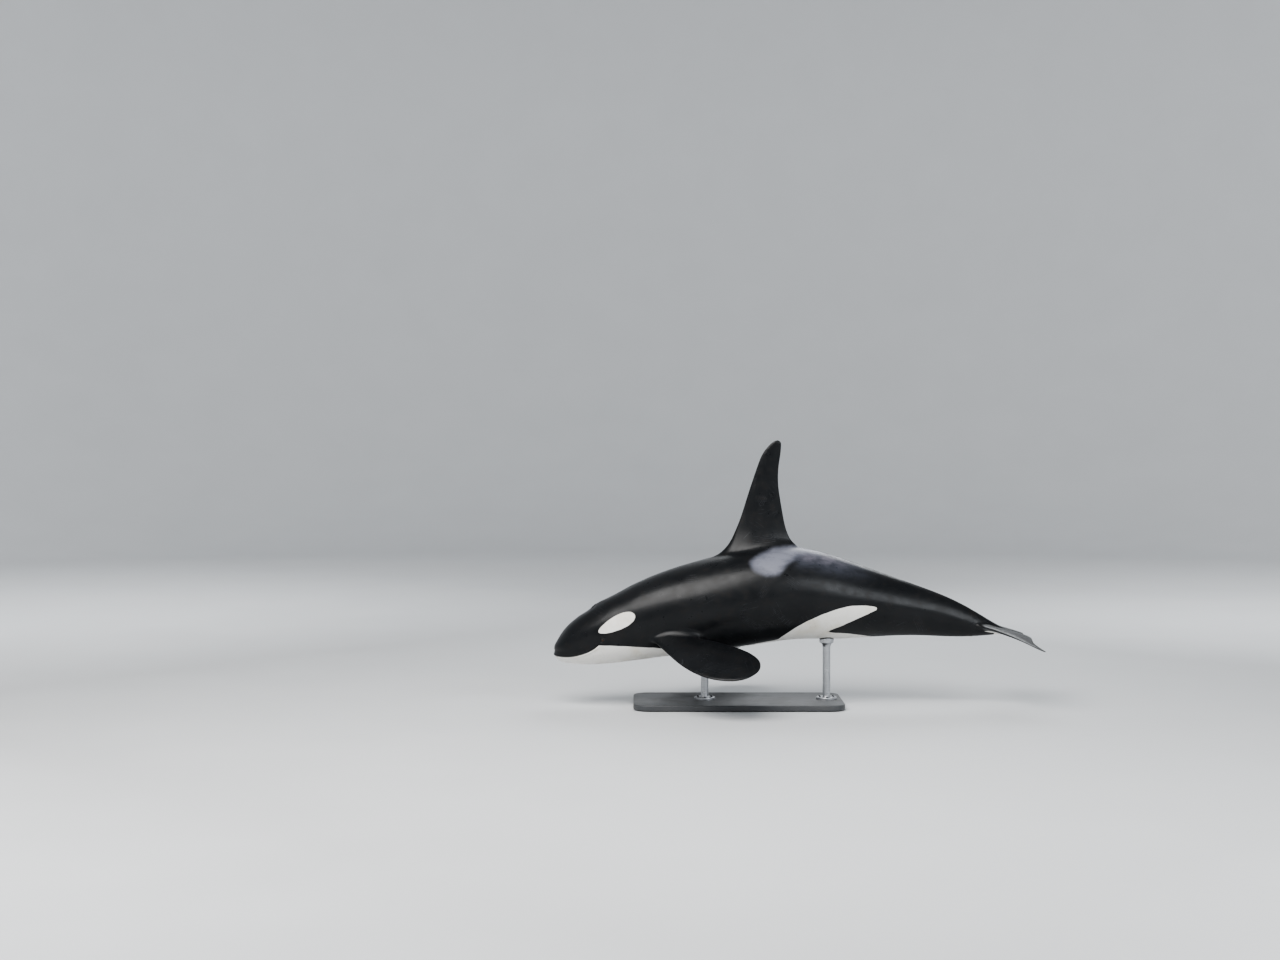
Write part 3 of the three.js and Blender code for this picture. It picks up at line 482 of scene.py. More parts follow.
def build_trunk(skin):
    """The trunk's grid of rings and columns, open at its holes. Returns point numbers by ring and column."""
    last = len(STATIONS) - 1
    grid = {}
    for i in range(1, last):
        size, holes = grid_at(i)
        columns = [j for j in range(size + 1) if not inside(holes, i, j, size, 1)]
        u = np.full(len(columns), STATIONS[i])
        angle = column_angle(u, np.array(columns) / size)
        for j, number in zip(columns, skin.add(skin_point(u, angle), on_body(u, angle))):
            grid[i, j] = number
    snout = skin.add(skin_point(np.zeros(1), np.zeros(1)), on_body(0.0, 0.0))[0]
    end = skin.add(skin_point(np.ones(1), np.zeros(1)), on_body(1.0, 0.0))[0]
    for j in range(2 * COLUMNS):
        skin.faces.append((snout, grid[1, j + 1], grid[1, j]))
    for j in range(COLUMNS):
        skin.faces.append((end, grid[last - 1, j], grid[last - 1, j + 1]))
    for i in range(1, last - 1):
        if i == FINE_END:
            halve_columns(skin, grid, i)
            continue
        size, holes = grid_at(i)
        for j in range(size):
            if not inside(holes, i, j, size, 0):
                skin.faces.append((grid[i, j], grid[i, j + 1], grid[i + 1, j + 1], grid[i + 1, j]))
    return grid


def halve_columns(skin, grid, i):
    """Faces between the last ring with the head's columns and the first with half as many."""
    for j in range(COLUMNS):
        a, b, c = (grid[i, 2 * j + k] for k in range(3))
        d, e = grid[i + 1, j + 1], grid[i + 1, j]
        skin.faces += [(a, b, e), (b, d, e), (b, c, d)]


def open_rim(skin, grid, around, size):
    """Makes a hole's rim the present ring: its stations, angles and turns round what grows from it."""
    i0, i1, j0, j1 = around
    front = [(i0, j) for j in range(j0, j1)]
    below = [(i, j1) for i in range(i0, i1)]
    rear = [(i1, j) for j in range(j1, j0, -1)]
    above = [(i, j0) for i in range(i1, i0, -1)]
    if j0 == 0:
        path = front + below + rear + [(i1, 0)]
        turn = np.linspace(0, math.pi, len(path))
    elif j1 == size:
        path = rear + above + front + [(i0, size)]
        turn = np.linspace(-math.pi, 0, len(path))
    else:
        path = front + below + rear + above
        turn = 2 * math.pi * (np.arange(len(path)) - (j1 - j0) / 2) / len(path)
    skin.ring, skin.closed = np.array([grid[p] for p in path]), j0 > 0 and j1 < size
    u = np.array([STATIONS[i] for i, _ in path])
    return u, column_angle(u, np.array([j / size for _, j in path])), turn


def airfoil(chord):
    """Half thickness of a fin along its chord, as a share of its greatest half thickness."""
    front = np.clip(chord / AIRFOIL_CREST, 0, 1)
    back = np.clip((chord - AIRFOIL_CREST) / (1 - AIRFOIL_CREST), 0, 1)
    end = np.clip((chord - 1 + EDGE_ROUND) / EDGE_ROUND, 0, 1)
    return np.sqrt(front * (2 - front)) * (1 - (1 - EDGE_SHARE) * back ** REAR_FALL) * np.sqrt(1 - end ** 2)


class Plan:
    """A fin's outline and thickness as splines from its root to its tip."""

    def __init__(self, fin):
        self.tracks = tracks(np.array(fin["lead"]) * MM) + tracks(np.array(fin["trail"]) * MM)
        self.thick = spline(list(enumerate(fin["thickness"])))
        self.end = len(fin["lead"]) - 1

    def place(self, span, turn):
        """Places on the fin in its own plane, (a, b, n), at a span and turns round the section."""
        lead_a, lead_b, trail_a, trail_b = (track(span) for track in self.tracks)
        chord = (1 - np.cos(turn)) / 2
        da, db = trail_a - lead_a, trail_b - lead_b
        half = np.hypot(da, db) * self.thick(span) * airfoil(chord) / 2
        return lead_a + chord * da, lead_b + chord * db, np.sign(np.sin(turn)) * half


def dorsal_point(a, b, n):
    """The dorsal fin: a is backward, b upward and n toward the left."""
    return np.stack((FIN_X + a, -n, AXIS_HEIGHT + FIN_BASE_LEVEL + b), -1)


def turned(vector, axis, degrees):
    """A vector turned about an axis."""
    return np.array(Matrix.Rotation(math.radians(degrees), 3, Vector(axis)) @ Vector(vector))


def flipper_axes():
    """Origin of the left flipper, and its directions along the span, back across the chord, and down."""
    back, up = directions(FLIPPER_STATION)
    sweep, droop = math.radians(FLIPPER_SWEEP), math.radians(FLIPPER_DROOP)
    out = np.array((0, -1, 0)) * math.cos(droop) - up * math.sin(droop)
    span = back * math.sin(sweep) + out * math.cos(sweep)
    chord = turned(back * math.cos(sweep) - out * math.sin(sweep), span, -FLIPPER_TWIST)
    origin = body_point(FLIPPER_STATION, math.radians(FLIPPER_ANGLE))
    return origin, span, chord, np.cross(chord, span)


FLIPPER_AXES = flipper_axes()


def flipper_point(a, b, n):
    """The left flipper: a is outward, b backward and n downward."""
    origin, span, chord, down = FLIPPER_AXES
    return origin + a[..., None] * span + b[..., None] * chord + n[..., None] * down


TAIL_BACK, TAIL_UP = directions(FLUKE_FOOT["station"])
TAIL_ORIGIN = side_point(FLUKE_STATION, section(FLUKE_FOOT["station"])[0])


def fluke_point(a, b, n):
    """The left fluke: a is outward, b backward and n downward, with the tip bent down."""
    bend = FLUKE_CURL * (a / (FLUKE["lead"][-1][0] * MM)) ** 3
    points = TAIL_ORIGIN + b[..., None] * TAIL_BACK - (n + bend)[..., None] * TAIL_UP
    points[..., 1] = -a
    return points


def dorsal_foot(turn):
    """Where the dorsal fin's flare starts on the back."""
    u = DORSAL_FOOT["station"] - DORSAL_FOOT["reach"] * np.cos(turn)
    return u, angle_at_side(u, DORSAL_FOOT["spread"] * np.abs(np.sin(turn)))


def flank_foot(foot):
    """Where a flipper's or fluke's flare starts on the flank."""
    def place(turn):
        u = foot["station"] - foot["reach"] * np.cos(turn)
        angle = foot["angle"] + foot["spread"] * np.sin(turn) - foot["tilt"] * np.cos(turn)
        return u, np.radians(angle)
    return place


def hermite(p0, t0, p1, t1, s):
    """Cubic curve between points with given directions at its ends."""
    return (
        p0 * (2 * s ** 3 - 3 * s ** 2 + 1) + t0 * (s ** 3 - 2 * s ** 2 + s)
        + p1 * (3 * s ** 2 - 2 * s ** 3) + t1 * (s ** 3 - s ** 2)
    )


def grow_fin(skin, grid, around, plan, foot_at, point_at, part, rows):
    """Grows a fin out of its hole: rows on the body, a flare, rows along the span and a closed tip."""
    u, angle, turn = open_rim(skin, grid, around, COLUMNS)
    body_rows, flare_rows, span_rows = rows
    foot_u, foot_angle = foot_at(turn)

    def on_fin(a, b):
        return np.stack((foot_u, foot_angle, 0 * turn + part, a, b, np.sin(turn)), -1)

    for row in range(1, body_rows + 1):
        row_u = u + (foot_u - u) * row / body_rows
        row_angle = angle + (foot_angle - angle) * row / body_rows
        skin.grow(skin_point(row_u, row_angle), on_body(row_u, row_angle))
    start = skin_point(foot_u, foot_angle)
    normal = body_normal(foot_u, foot_angle)
    root_a, root_b, root_n = plan.place(0, turn)
    stop = point_at(root_a, root_b, root_n)
    reach = stop - start
    size = np.linalg.norm(reach, axis=-1, keepdims=True)
    leave = unit(reach - normal * np.sum(reach * normal, -1, keepdims=True)) * size
    arrive = unit(point_at(*plan.place(ROOT_STEP, turn)) - stop) * size * FLARE_PULL
    for row in range(1, flare_rows + 1):
        share = row / flare_rows
        skin.grow(hermite(start, leave, stop, arrive, share), on_fin(root_a * share, root_b))
    for row in range(1, span_rows):
        a, b, n = plan.place(plan.end * math.sin(math.pi / 2 * row / span_rows), turn)
        skin.grow(point_at(a, b, n), on_fin(a, b))
    a, b, n = plan.place(plan.end, np.zeros(1))
    skin.grow(point_at(a, b, n), (foot_u[0], foot_angle[0], part, a[0], b[0], 0))


# Rings round the eye, in millimetres: half length, half height, height over the skin, and how far that
# height follows the eyeball's own surface.
LID_RINGS = (
    (66, 58, 0, 0), (61, 52, 0.3, 0), (57, 46, 0.9, 0), (53, 41, 1.5, 0), (49.5, 36.5, 1.9, 0),
    (46.5, 33, 1.6, 0), (44, 30, 1.5, 0), (41.5, 27, 2.9, 0), (38.5, 24.2, 4.7, 0), (35.5, 21.8, 5.7, 0.1),
    (32.5, 19.4, 5.8, 0.4), (29.8, 17.2, 4.6, 0.75), (27.6, 15.4, 3.1, 1), (26.2, 14, 1.8, 1),
    (25.4, 13.2, 0.8, 1),
)
INNER_RINGS = ((25.6, 13.6), (27.2, 18), (28.8, 25))  # behind the lids' rims, just clear of the eyeball
SOCKET_RINGS = ((31.6, 14), (31.8, 26), (31.6, 34), (24, 44), (12, 52), (0, 56))  # radius and depth
LID_ARCH, LID_TAPER = 0.12, 0.3  # how far the upper lid arches over the lower, and both taper to the corners
CANTHUS = -0.006  # lowest that the lids follow the eyeball toward the corners of the eye
CLEAR = 0.0004
EYE_NORMAL = body_normal(EYE_U, EYE_ANGLE)
EYE_ALONG, EYE_AROUND = (unit(step) for step in body_steps(EYE_U, EYE_ANGLE))


def ball_height(x, y):
    """Height of the eyeball's surface over the plain skin."""
    return np.sqrt(np.maximum(EYE_RADIUS ** 2 - x ** 2 - y ** 2, 0)) - EYE_SINK


def grow_eye(skin, grid):
    """Lids, their rolled rims and the socket behind the eyeball, grown out of the head's grid."""
    u, angle, turn = open_rim(skin, grid, EYE_HOLE, 2 * COLUMNS)
    along, around = body_steps(EYE_U, EYE_ANGLE)
    per_u, per_angle = np.linalg.norm(along), np.linalg.norm(around)
    cosine, sine = -np.cos(turn), np.sin(turn)

    def row_of(x, y, height, near):
        row_u, row_angle = EYE_U + x / per_u, EYE_ANGLE + y / per_angle
        on_skin = skin_point(row_u, row_angle) + body_normal(row_u, row_angle) * height[:, None]
        flat = x[:, None] * EYE_ALONG + y[:, None] * EYE_AROUND + height[:, None] * EYE_NORMAL
        skin.grow(on_skin + (EYE_CENTRE + flat - on_skin) * near, on_body(row_u, row_angle))

    rim_x, rim_y = (u - EYE_U) * per_u, (angle - EYE_ANGLE) * per_angle
    first_x, first_y = cosine * LID_RINGS[0][0] * MM, sine * LID_RINGS[0][1] * MM
    row_of(rim_x + (first_x - rim_x) / 2, rim_y + (first_y - rim_y) / 2, 0 * cosine, 0)
    for long, high, height, on_ball in LID_RINGS:
        pinch = float(smooth(46, 27, long))
        arch = np.where(sine < 0, 1 + LID_ARCH * pinch, 1 - LID_ARCH * pinch)
        x, y = cosine * long * MM, sine * high * MM * arch * (1 - LID_TAPER * pinch * cosine ** 2)
        follow = on_ball * np.maximum(ball_height(x, y), CANTHUS)
        row_of(x, y, height * MM + follow, float(smooth(56, 44, long)))
    for long, high in INNER_RINGS:
        x, y = cosine * long * MM, sine * high * MM
        row_of(x, y, ball_height(x, y) + CLEAR, 1)
    for radius, depth in SOCKET_RINGS[:-1]:
        row_of(cosine * radius * MM, sine * radius * MM, 0 * cosine - depth * MM, 1)
    pit = EYE_CENTRE - EYE_NORMAL * SOCKET_RINGS[-1][1] * MM
    skin.grow(pit, on_body(EYE_U, EYE_ANGLE))


def zip_up(skin):
    """Closes the present half ring, which starts and ends on the middle plane, with a strip of faces."""
    ring, last = skin.ring, len(skin.ring) - 1
    for k in range(len(ring) // 2):
        corners = tuple(dict.fromkeys((ring[k], ring[k + 1], ring[last - k - 1], ring[last - k])))
        if len(corners) > 2:
            skin.faces.append(corners)


BLOW_HORNS = 1.35  # how far round the crescent's horns turn
# Rings round the blowhole, in millimetres: distance from the crescent's line, and height over the skin.
BLOW_RINGS = (
    (56, 0), (47, 0.5), (39, 2), (31, 4.5), (24, 6.5), (18, 7.5), (13, 7), (9.5, 5), (7, 2), (5.2, -2),
    (4, -7), (3.2, -14), (2.6, -24),
)


def grow_patch(skin, grid, around, size, places_of, rings):
    """Grows rings round a slit in the middle plane from the rim of its hole, and closes the last one."""
    u, angle, turn = open_rim(skin, grid, around, size)
    rows = [places_of(turn, apart * MM) + (height * MM,) for apart, height in rings]
    first_u, first_angle, _ = rows[0]
    for share in (0.35, 0.7):
        rows.insert(0, (u + (first_u - u) * (1 - share), angle + (first_angle - angle) * (1 - share), 0))
    for row_u, row_angle, height in rows:
        points = skin_point(row_u, row_angle) + body_normal(row_u, row_angle) * height
        points[[0, -1], 1] = 0
        skin.grow(points, on_body(row_u, row_angle))
    zip_up(skin)


def blowhole_places(turn, apart):
    """Stations and angles of a loop round the crescent of the blowhole, whose horns point forward."""
    y = (BLOWHOLE_HALF + apart) * np.sin(turn)
    bow = BLOWHOLE_BOW * (0.5 - BLOW_HORNS * np.tanh((y / BLOWHOLE_HALF) ** 2 / BLOW_HORNS))
    along = np.linalg.norm(body_steps(BLOWHOLE_U, 0)[0])
    u = BLOWHOLE_U + (bow - apart * np.cos(turn)) / along
    return u, angle_at_side(u, y)


# Rings round the slit in the belly, in millimetres: half width, and height over the skin.
SLIT_RINGS = ((40, 0), (28, 2), (18, 3.5), (11, 2.5), (6, -1), (3.5, -8), (2, -16))
SLIT_MIDDLE, SLIT_HALF = 0.6225, 0.11


def slit_places(turn, apart):
    """Stations and angles of a loop round the slit in the belly."""
    along = np.linalg.norm(body_steps(SLIT_MIDDLE, math.pi)[0])
    u = SLIT_MIDDLE - (SLIT_HALF + apart) * np.cos(turn) / along
    return u, math.pi - angle_at_side(u, apart * np.abs(np.sin(turn)))


FIN_ROWS = ((4, 10, 36), (4, 9, 34), (4, 8, 32))  # rows on the body, in the flare and along the span


def grow_all():
    """The whole left half of the skin."""
    skin = Skin()
    grid = build_trunk(skin)
    fins = (
        (DORSAL_HOLE, DORSAL, dorsal_foot, dorsal_point, FIN),
        (FLIPPER_HOLE, FLIPPER, flank_foot(FLIPPER_FOOT), flipper_point, PADDLE),
        (FLUKE_HOLE, FLUKE, flank_foot(FLUKE_FOOT), fluke_point, TAIL),
    )
    for (around, fin, foot_at, point_at, part), rows in zip(fins, FIN_ROWS):
        grow_fin(skin, grid, around, Plan(fin), foot_at, point_at, part, rows)
    grow_eye(skin, grid)
    grow_patch(skin, grid, BLOW_HOLE, 2 * COLUMNS, blowhole_places, BLOW_RINGS)
    grow_patch(skin, grid, SLIT_HOLE, COLUMNS, slit_places, SLIT_RINGS)
    return skin


# Markings, as distances in metres inside their edges.

# Station and angle from the ridge, in degrees, of the upper edge of the white underside behind the mouth.
WHITE_EDGE = (
    (0.098, 112), (0.108, 114.5), (0.12, 117), (0.15, 120), (0.18, 123.5), (0.205, 128), (0.23, 136),
    (0.26, 145), (0.3, 156), (0.35, 163), (0.41, 164.5), (0.47, 161), (0.52, 154), (0.56, 148), (0.6, 146),
    (0.64, 150), (0.67, 159), (0.69, 171), (0.7, 182),
)
# The lobe that sweeps up the flank: station, angle in degrees and half width in metres along its middle.
LOBE = ((0.5, 160, 0.13), (0.535, 147, 0.165), (0.57, 134, 0.16), (0.605, 121, 0.14), (0.64, 109, 0.105),
        (0.67, 100.5, 0.06), (0.685, 97, 0.03))
EYE_PATCH = dict(station=0.147, level=0.083, long=0.285, high=0.098, tilt=8)
# The grey saddle as the photo shows it from the side: metres behind the fin's middle, and above the ridge.
SADDLE = (
    (-0.182, -0.243), (-0.161, -0.176), (-0.08, -0.11), (0.029, -0.053), (0.139, -0.001), (0.25, 0.022),
    (0.396, 0.036), (0.564, 0.045), (0.7, 0.02), (0.86, -0.06), (0.83, -0.125), (0.696, -0.1), (0.59, -0.108),
    (0.512, -0.135), (0.436, -0.182), (0.359, -0.243), (0.307, -0.301), (0.234, -0.375), (0.139, -0.397),
    (0.037, -0.397), (-0.057, -0.367), (-0.132, -0.316),
)
VIEW_DROP = 0.064  # how much lower the photo shows a point for each metre that it is nearer than the ridge
LOBE_DISCS, LOBE_BLEND = 49, 0.06  # discs that the lobe is made of, and rounding where it leaves the belly
BAND_AND_SHEEN = (0.3, 0.6, 0.7, 1.9)  # start, full, wane and stop of the mottled grey band behind the saddle, metres behind the fin's middle; partly the back's own grey, partly a painted sheen of sky light on the wet ridge
BLUBBER = ((2.1, 0, 0.0016), (7.3, 5, 0.0005))  # scale, shift and height of the skin's unevenness
FLUKE_MARGIN_FRONT, FLUKE_MARGIN_REAR = 0.055, 0.045
FLUKE_MARGIN_ROOT = 0.085  # how much wider the front margin is at the root
TAIL_WHITE_START, TAIL_WHITE_END, TAIL_WHITE_ANGLE = 0.944, 0.985, 1.9  # under the end of the tail stock


def round_curve(corners, steps):
    """A closed smooth curve through corners."""
    corners = np.array(corners)
    before, after, last = np.roll(corners, 1, 0), np.roll(corners, -1, 0), np.roll(corners, -2, 0)
    curve = []
    for k in range(steps):
        t = k / steps
        curve.append(
            corners + 0.5 * t * (after - before)
            + t * t * (before - 2.5 * corners + 2 * after - 0.5 * last)
            + t ** 3 * (1.5 * (corners - after) + 0.5 * (last - before))
        )
    return np.stack(curve, 1).reshape(-1, corners.shape[1])


def inside_distance(points, outline):
    """Distance of flat points inside a closed outline, negative outside it."""
    nearest = np.full(len(points), np.inf)
    within = np.zeros(len(points), bool)
    for start, stop in zip(outline, np.roll(outline, -1, 0)):
        edge, offset = stop - start, points - start
        t = np.clip(offset @ edge / (edge @ edge), 0, 1)
        nearest = np.minimum(nearest, np.linalg.norm(offset - t[:, None] * edge, axis=1))
        crosses = (start[1] > points[:, 1]) != (stop[1] > points[:, 1])
        reach = start[0] + (points[:, 1] - start[1]) * edge[0] / (edge[1] if edge[1] else 1e-9)
        within ^= crosses & (points[:, 0] < reach)
    return np.where(within, nearest, -nearest)


def smooth_most(a, b, blend):
    """The larger of two distances, rounded where they meet."""
    h = np.clip(0.5 + 0.5 * (a - b) / blend, 0, 1)
    return b + (a - b) * h + blend * h * (1 - h)


def lobe_distance(u, angle, radius):
    """Distance inside the chain of discs that makes the lobe on the flank."""
    found = np.full(len(u), -9.0)
    columns = tracks(LOBE)
    for k in np.linspace(0, len(LOBE) - 1, LOBE_DISCS):
        station, degrees, width = (float(value(k)) for value in columns)
        away = np.hypot((u - station) * LENGTH, (angle - math.radians(degrees)) * radius)
        found = np.maximum(found, width - away)
    return found


def eye_patch_distance(u, level):
    """Distance inside the white oval behind the eye."""
    x, z = (u - EYE_PATCH["station"]) * LENGTH, level - EYE_PATCH["level"]
    tilt = math.radians(EYE_PATCH["tilt"])
    along, across = x * math.cos(tilt) + z * math.sin(tilt), z * math.cos(tilt) - x * math.sin(tilt)
    long, high = EYE_PATCH["long"], EYE_PATCH["high"] * (1 + 0.25 * np.clip(along / EYE_PATCH["long"], -1, 1))
    share = np.maximum(np.hypot(along / long, across / high), 1e-3)
    slope = np.hypot(along / long ** 2, across / high ** 2) / share
    return (1 - share) / np.maximum(slope, 1)


def white_distance(points, places):
    """Distance inside the white markings."""
    u, angle, part, a, b, under = places.T
    _, rise, half, _ = section(u)
    radius = (rise + half) / 2
    level = np.sum((points - side_point(u, 0 * u)) * directions(u)[1], -1)
    mouth_end, first_edge = WHITE_EDGE[0]
    edge = np.radians(np.interp(u, *np.array(WHITE_EDGE).T))
    step = float(angle_at_level(mouth_end, mouth_level(mouth_end))) - math.radians(first_edge)
    edge = np.where(u < mouth_end, angle_at_level(u, mouth_level(u)), edge + step * smooth(0.2, 0.1, u))
    belly = (angle - edge) * np.maximum(radius, 0.02)
    firm = smooth(0.125, 0.095, u)
    belly = np.where(np.abs(belly) < 0.08, (belly - 0.003 * firm) * (1 + 2.5 * firm), belly)
    body = smooth_most(belly, lobe_distance(u, angle, radius), LOBE_BLEND)
    body = np.maximum(body, eye_patch_distance(u, level))
    tail = np.minimum(u - TAIL_WHITE_START, TAIL_WHITE_END - u) * LENGTH
    body = np.where(u > 0.85, np.minimum(tail, (angle - TAIL_WHITE_ANGLE) * radius), body)
    plan = Plan(FLUKE)
    spans = np.linspace(0, plan.end, 60)
    lead_a, lead_b, trail_a, trail_b = (track(spans) for track in plan.tracks)
    front = b - np.interp(a, lead_a, lead_b) - FLUKE_MARGIN_FRONT
    rear = np.interp(a, trail_a, trail_b) - b - FLUKE_MARGIN_REAR
    root = FLUKE_MARGIN_ROOT * smooth(0.4, 0.12, a)
    fluke = np.where(under > 0, np.minimum(front - root, rear) * 0.8, -0.1 - np.minimum(front, rear))
    return np.where(part == TAIL, fluke, np.where(part == TRUNK, body, -0.5))


def saddle_distance(points, places):
    """Distance inside the grey saddle, seen from the side and a little from above."""
    flat = np.stack((points[:, 0] - FIN_X, points[:, 2] - VIEW_DROP * np.abs(points[:, 1])), -1)
    flat[:, 1] -= AXIS_HEIGHT + FIN_BASE_LEVEL
    near = (places[:, 2] < PADDLE) & (np.abs(flat[:, 0]) < 2) & (np.abs(flat[:, 1]) < 1)
    found = np.full(len(points), -1.0)
    found[near] = inside_distance(flat[near], round_curve(SADDLE, 5))
    return found


def band_and_sheen_share(points, places):
    """Strength of the mottled band along the ridge behind the saddle, strongest at the ridge: partly the
    back's own grey, partly a painted sheen of sky light on the wet skin.
    """
    along = window(points[:, 0] - FIN_X, *BAND_AND_SHEEN)
    return along * smooth(1.2, 0.3, places[:, 1]) * (places[:, 2] == TRUNK)


def surface_noise(points):
    """Low, soft unevenness of the blubber under the skin, in metres."""
    values = np.zeros(len(points))
    for scale, shift, height in BLUBBER:
        places = points * scale + (shift, 0, 0)
        values += [height * noise.noise(Vector(at)) for at in places]
    return values


def mirrored(skin):
    """Points, places and faces of both halves, with the points of the middle plane shared."""
    points, places = np.concatenate(skin.points), np.concatenate(skin.places)
    middle = np.abs(points[:, 1]) < 1e-6
    points[middle, 1] = 0
    twin = np.arange(len(points))
    twin[~middle] = len(points) + np.arange(np.count_nonzero(~middle))
    faces = [tuple(int(k) for k in face) for face in skin.faces]
    faces += [tuple(int(twin[k]) for k in reversed(face)) for face in faces]
    points = np.concatenate((points, points[~middle] * (1, -1, 1)))
    return points, np.concatenate((places, places[~middle])), faces


def new_object(name, mesh):
    """An object of a mesh, in the scene."""
    piece = bpy.data.objects.new(name, mesh)
    bpy.context.scene.collection.objects.link(piece)
    return piece


def new_mesh(name, points, faces):
    """A smooth mesh object of points and faces."""
    mesh = bpy.data.meshes.new(name)
    mesh.from_pydata([tuple(point) for point in points], [], faces)
    mesh.validate()
    mesh.update()
    mesh.polygons.foreach_set("use_smooth", [True] * len(mesh.polygons))
    return new_object(name, mesh)


def add_values(piece, name, values):
    """A number for each point of a mesh, for its material."""
    attribute = piece.data.attributes.new(name, "FLOAT", "POINT")
    attribute.data.foreach_set("value", np.asarray(values, np.float32))


def make_skin():
    """The whole skin in one closed surface, with the distances that its markings and the painted sheen behind
    the saddle are painted by.
    """
    points, places, faces = mirrored(grow_all())
    piece = new_mesh("orca_skin", points, faces)
    normals = np.empty(len(points) * 3, np.float32)
    piece.data.vertices.foreach_get("normal", normals)
    calm = smooth(0.02, 0.06, np.abs(places[:, 0] - EYE_U)) * smooth(0.004, 0.02, np.abs(points[:, 1]))
    calm = np.where(places[:, 2] == TRUNK, calm, 0.4)
    moved = points + normals.reshape(-1, 3) * (surface_noise(points) * calm)[:, None]
    piece.data.vertices.foreach_set("co", moved.ravel())
    piece.data.update()
    for name, distance in (("white", white_distance), ("saddle", saddle_distance), ("band_and_sheen", band_and_sheen_share)):
        add_values(piece, name, distance(points, places))
    return piece


class Finish:
    """A material made of nodes. Its methods take sockets or constants, and return sockets."""

    def __init__(self, name, **constants):
        """The constants are set on the surface shader itself."""
        self.material = bpy.data.materials.new(name)
        self.material.use_nodes = True
        self.tree = self.material.node_tree
        self.surface = self.tree.nodes["Principled BSDF"].inputs
        for key, value in constants.items():
            self.surface[key.replace("_", " ")].default_value = value
        self.at = self.node("TexCoord")["Object"]  # place on the object, in metres

    def node(self, kind, inputs=None, **settings):
        """Outputs of a new node."""
        made = self.tree.nodes.new("ShaderNode" + kind)
        for key, value in settings.items():
            setattr(made, key, value)
        for key, value in (inputs or {}).items():
            if isinstance(value, bpy.types.NodeSocket):
                self.tree.links.new(value, made.inputs[key])
            else:
                made.inputs[key].default_value = value
        return made.outputs

    def math(self, operation, *values):
        """Arithmetic on numbers."""
        return self.node("Math", dict(enumerate(values)), operation=operation)[0]

    def times(self, a, b):
        """Product of two numbers."""
        return self.math("MULTIPLY", a, b)

    def vector(self, operation, *values, out="Vector"):
        """Arithmetic on vectors."""
        return self.node("VectorMath", dict(enumerate(values)), operation=operation)[out]

    def carried(self, name):
        """A number that the mesh carries."""
        return self.node("Attribute", attribute_name=name)["Fac"]

    def cloud(self, scale, detail=3.0, rough=0.5, warp=0.0, at=None):
        """Soft noise from 0 to 1."""
        at = self.at if at is None else at
        inputs = {"Vector": at, "Scale": scale, "Detail": detail, "Roughness": rough, "Distortion": warp}
        return self.node("TexNoise", inputs)["Fac"]

    def ramp(self, value, low, high, start=0.0, stop=1.0):
        """Smooth step of a number between two levels."""
        inputs = dict(enumerate((value, low, high, start, stop)))
        return self.node("MapRange", inputs, interpolation_type="SMOOTHSTEP")[0]

    def mix(self, share, a, b):
        """Mix of two colours."""
        return self.node("Mix", {0: share, 6: a, 7: b}, data_type="RGBA")[2]

    def fray(self, distance, field, amount):
        """A distance made uneven by a field of noise."""
        return self.math("MULTIPLY_ADD", self.math("SUBTRACT", field, 0.5), amount, distance)

    def bump(self, height, distance, strength=1.0, under=None):
        """Bump from a height, over another bump."""
        inputs = {"Height": height, "Distance": distance, "Strength": strength}
        if under is not None:
            inputs["Normal"] = under
        return self.node("Bump", inputs)[0]

    def done(self, colour, rough=None, normal=None):
        """The material, with what reaches its surface."""
        for key, value in (("Base Color", colour), ("Roughness", rough), ("Normal", normal)):
            if value is not None:
                self.tree.links.new(value, self.surface[key])
        return self.material


BLACK_DEEP, BLACK_SOFT = (0.0052, 0.0060, 0.0072, 1), (0.0095, 0.0102, 0.0115, 1)
BLACK_BROWN = (0.0125, 0.0105, 0.0095, 1)
WHITE_CLEAN, WHITE_STAINED = (0.80, 0.785, 0.745, 1), (0.66, 0.61, 0.51, 1)
GREY_LIGHT, GREY_DARK = (0.18, 0.186, 0.22, 1), (0.10, 0.105, 0.13, 1)
# The grey band behind the saddle, lighter near the ridge: partly the back's own grey, partly a painted sheen
# of sky light.
BAND_AND_SHEEN_NEAR, BAND_AND_SHEEN_FAR = (0.125, 0.12, 0.145, 1), (0.04, 0.043, 0.054, 1)
SCAR_PALE = (0.085, 0.088, 0.1, 1)
MIDDLE_GREY = (0.5, 0.5, 0.5)
RAKE_CHANCE, RAKE_WARP = 0.3, 0.03


def rake_marks(f, scale, spacing, width, length):
    """Groups of straight parallel scratches, as the teeth of other whales leave, in some cells of space."""
    field = f.node("TexNoise", {"Vector": f.at, "Scale": 3.0, "Detail": 1.0})["Color"]
    offset = f.vector("SUBTRACT", field, MIDDLE_GREY)
    offset = f.node("VectorMath", {0: offset, "Scale": RAKE_WARP}, operation="SCALE")[0]
    bent = f.vector("ADD", f.at, offset)
    cells = f.node("TexVoronoi", {"Vector": bent, "Scale": scale}, feature="F1")
    offset = f.vector("SUBTRACT", bent, cells["Position"])
    across = f.vector("NORMALIZE", f.vector("SUBTRACT", cells["Color"], MIDDLE_GREY))
    along = f.vector("CROSS_PRODUCT", across, (0.36, 0.48, 0.8))
    side = f.vector("DOT_PRODUCT", offset, across, out="Value")
    run = f.vector("DOT_PRODUCT", offset, along, out="Value")
    marks = f.ramp(f.math("PINGPONG", side, spacing / 2), width, 0.0)
    marks = f.times(marks, f.ramp(f.math("ABSOLUTE", side), spacing * 2.4, spacing * 2.2))
    marks = f.times(marks, f.ramp(f.math("ABSOLUTE", run), length, length * 0.6))
    chosen = f.math("LESS_THAN", f.node("SeparateColor", {0: cells["Color"]})[2], RAKE_CHANCE)
    return f.times(f.times(marks, chosen), f.ramp(f.cloud(30.0, 2.0), 0.35, 0.6))


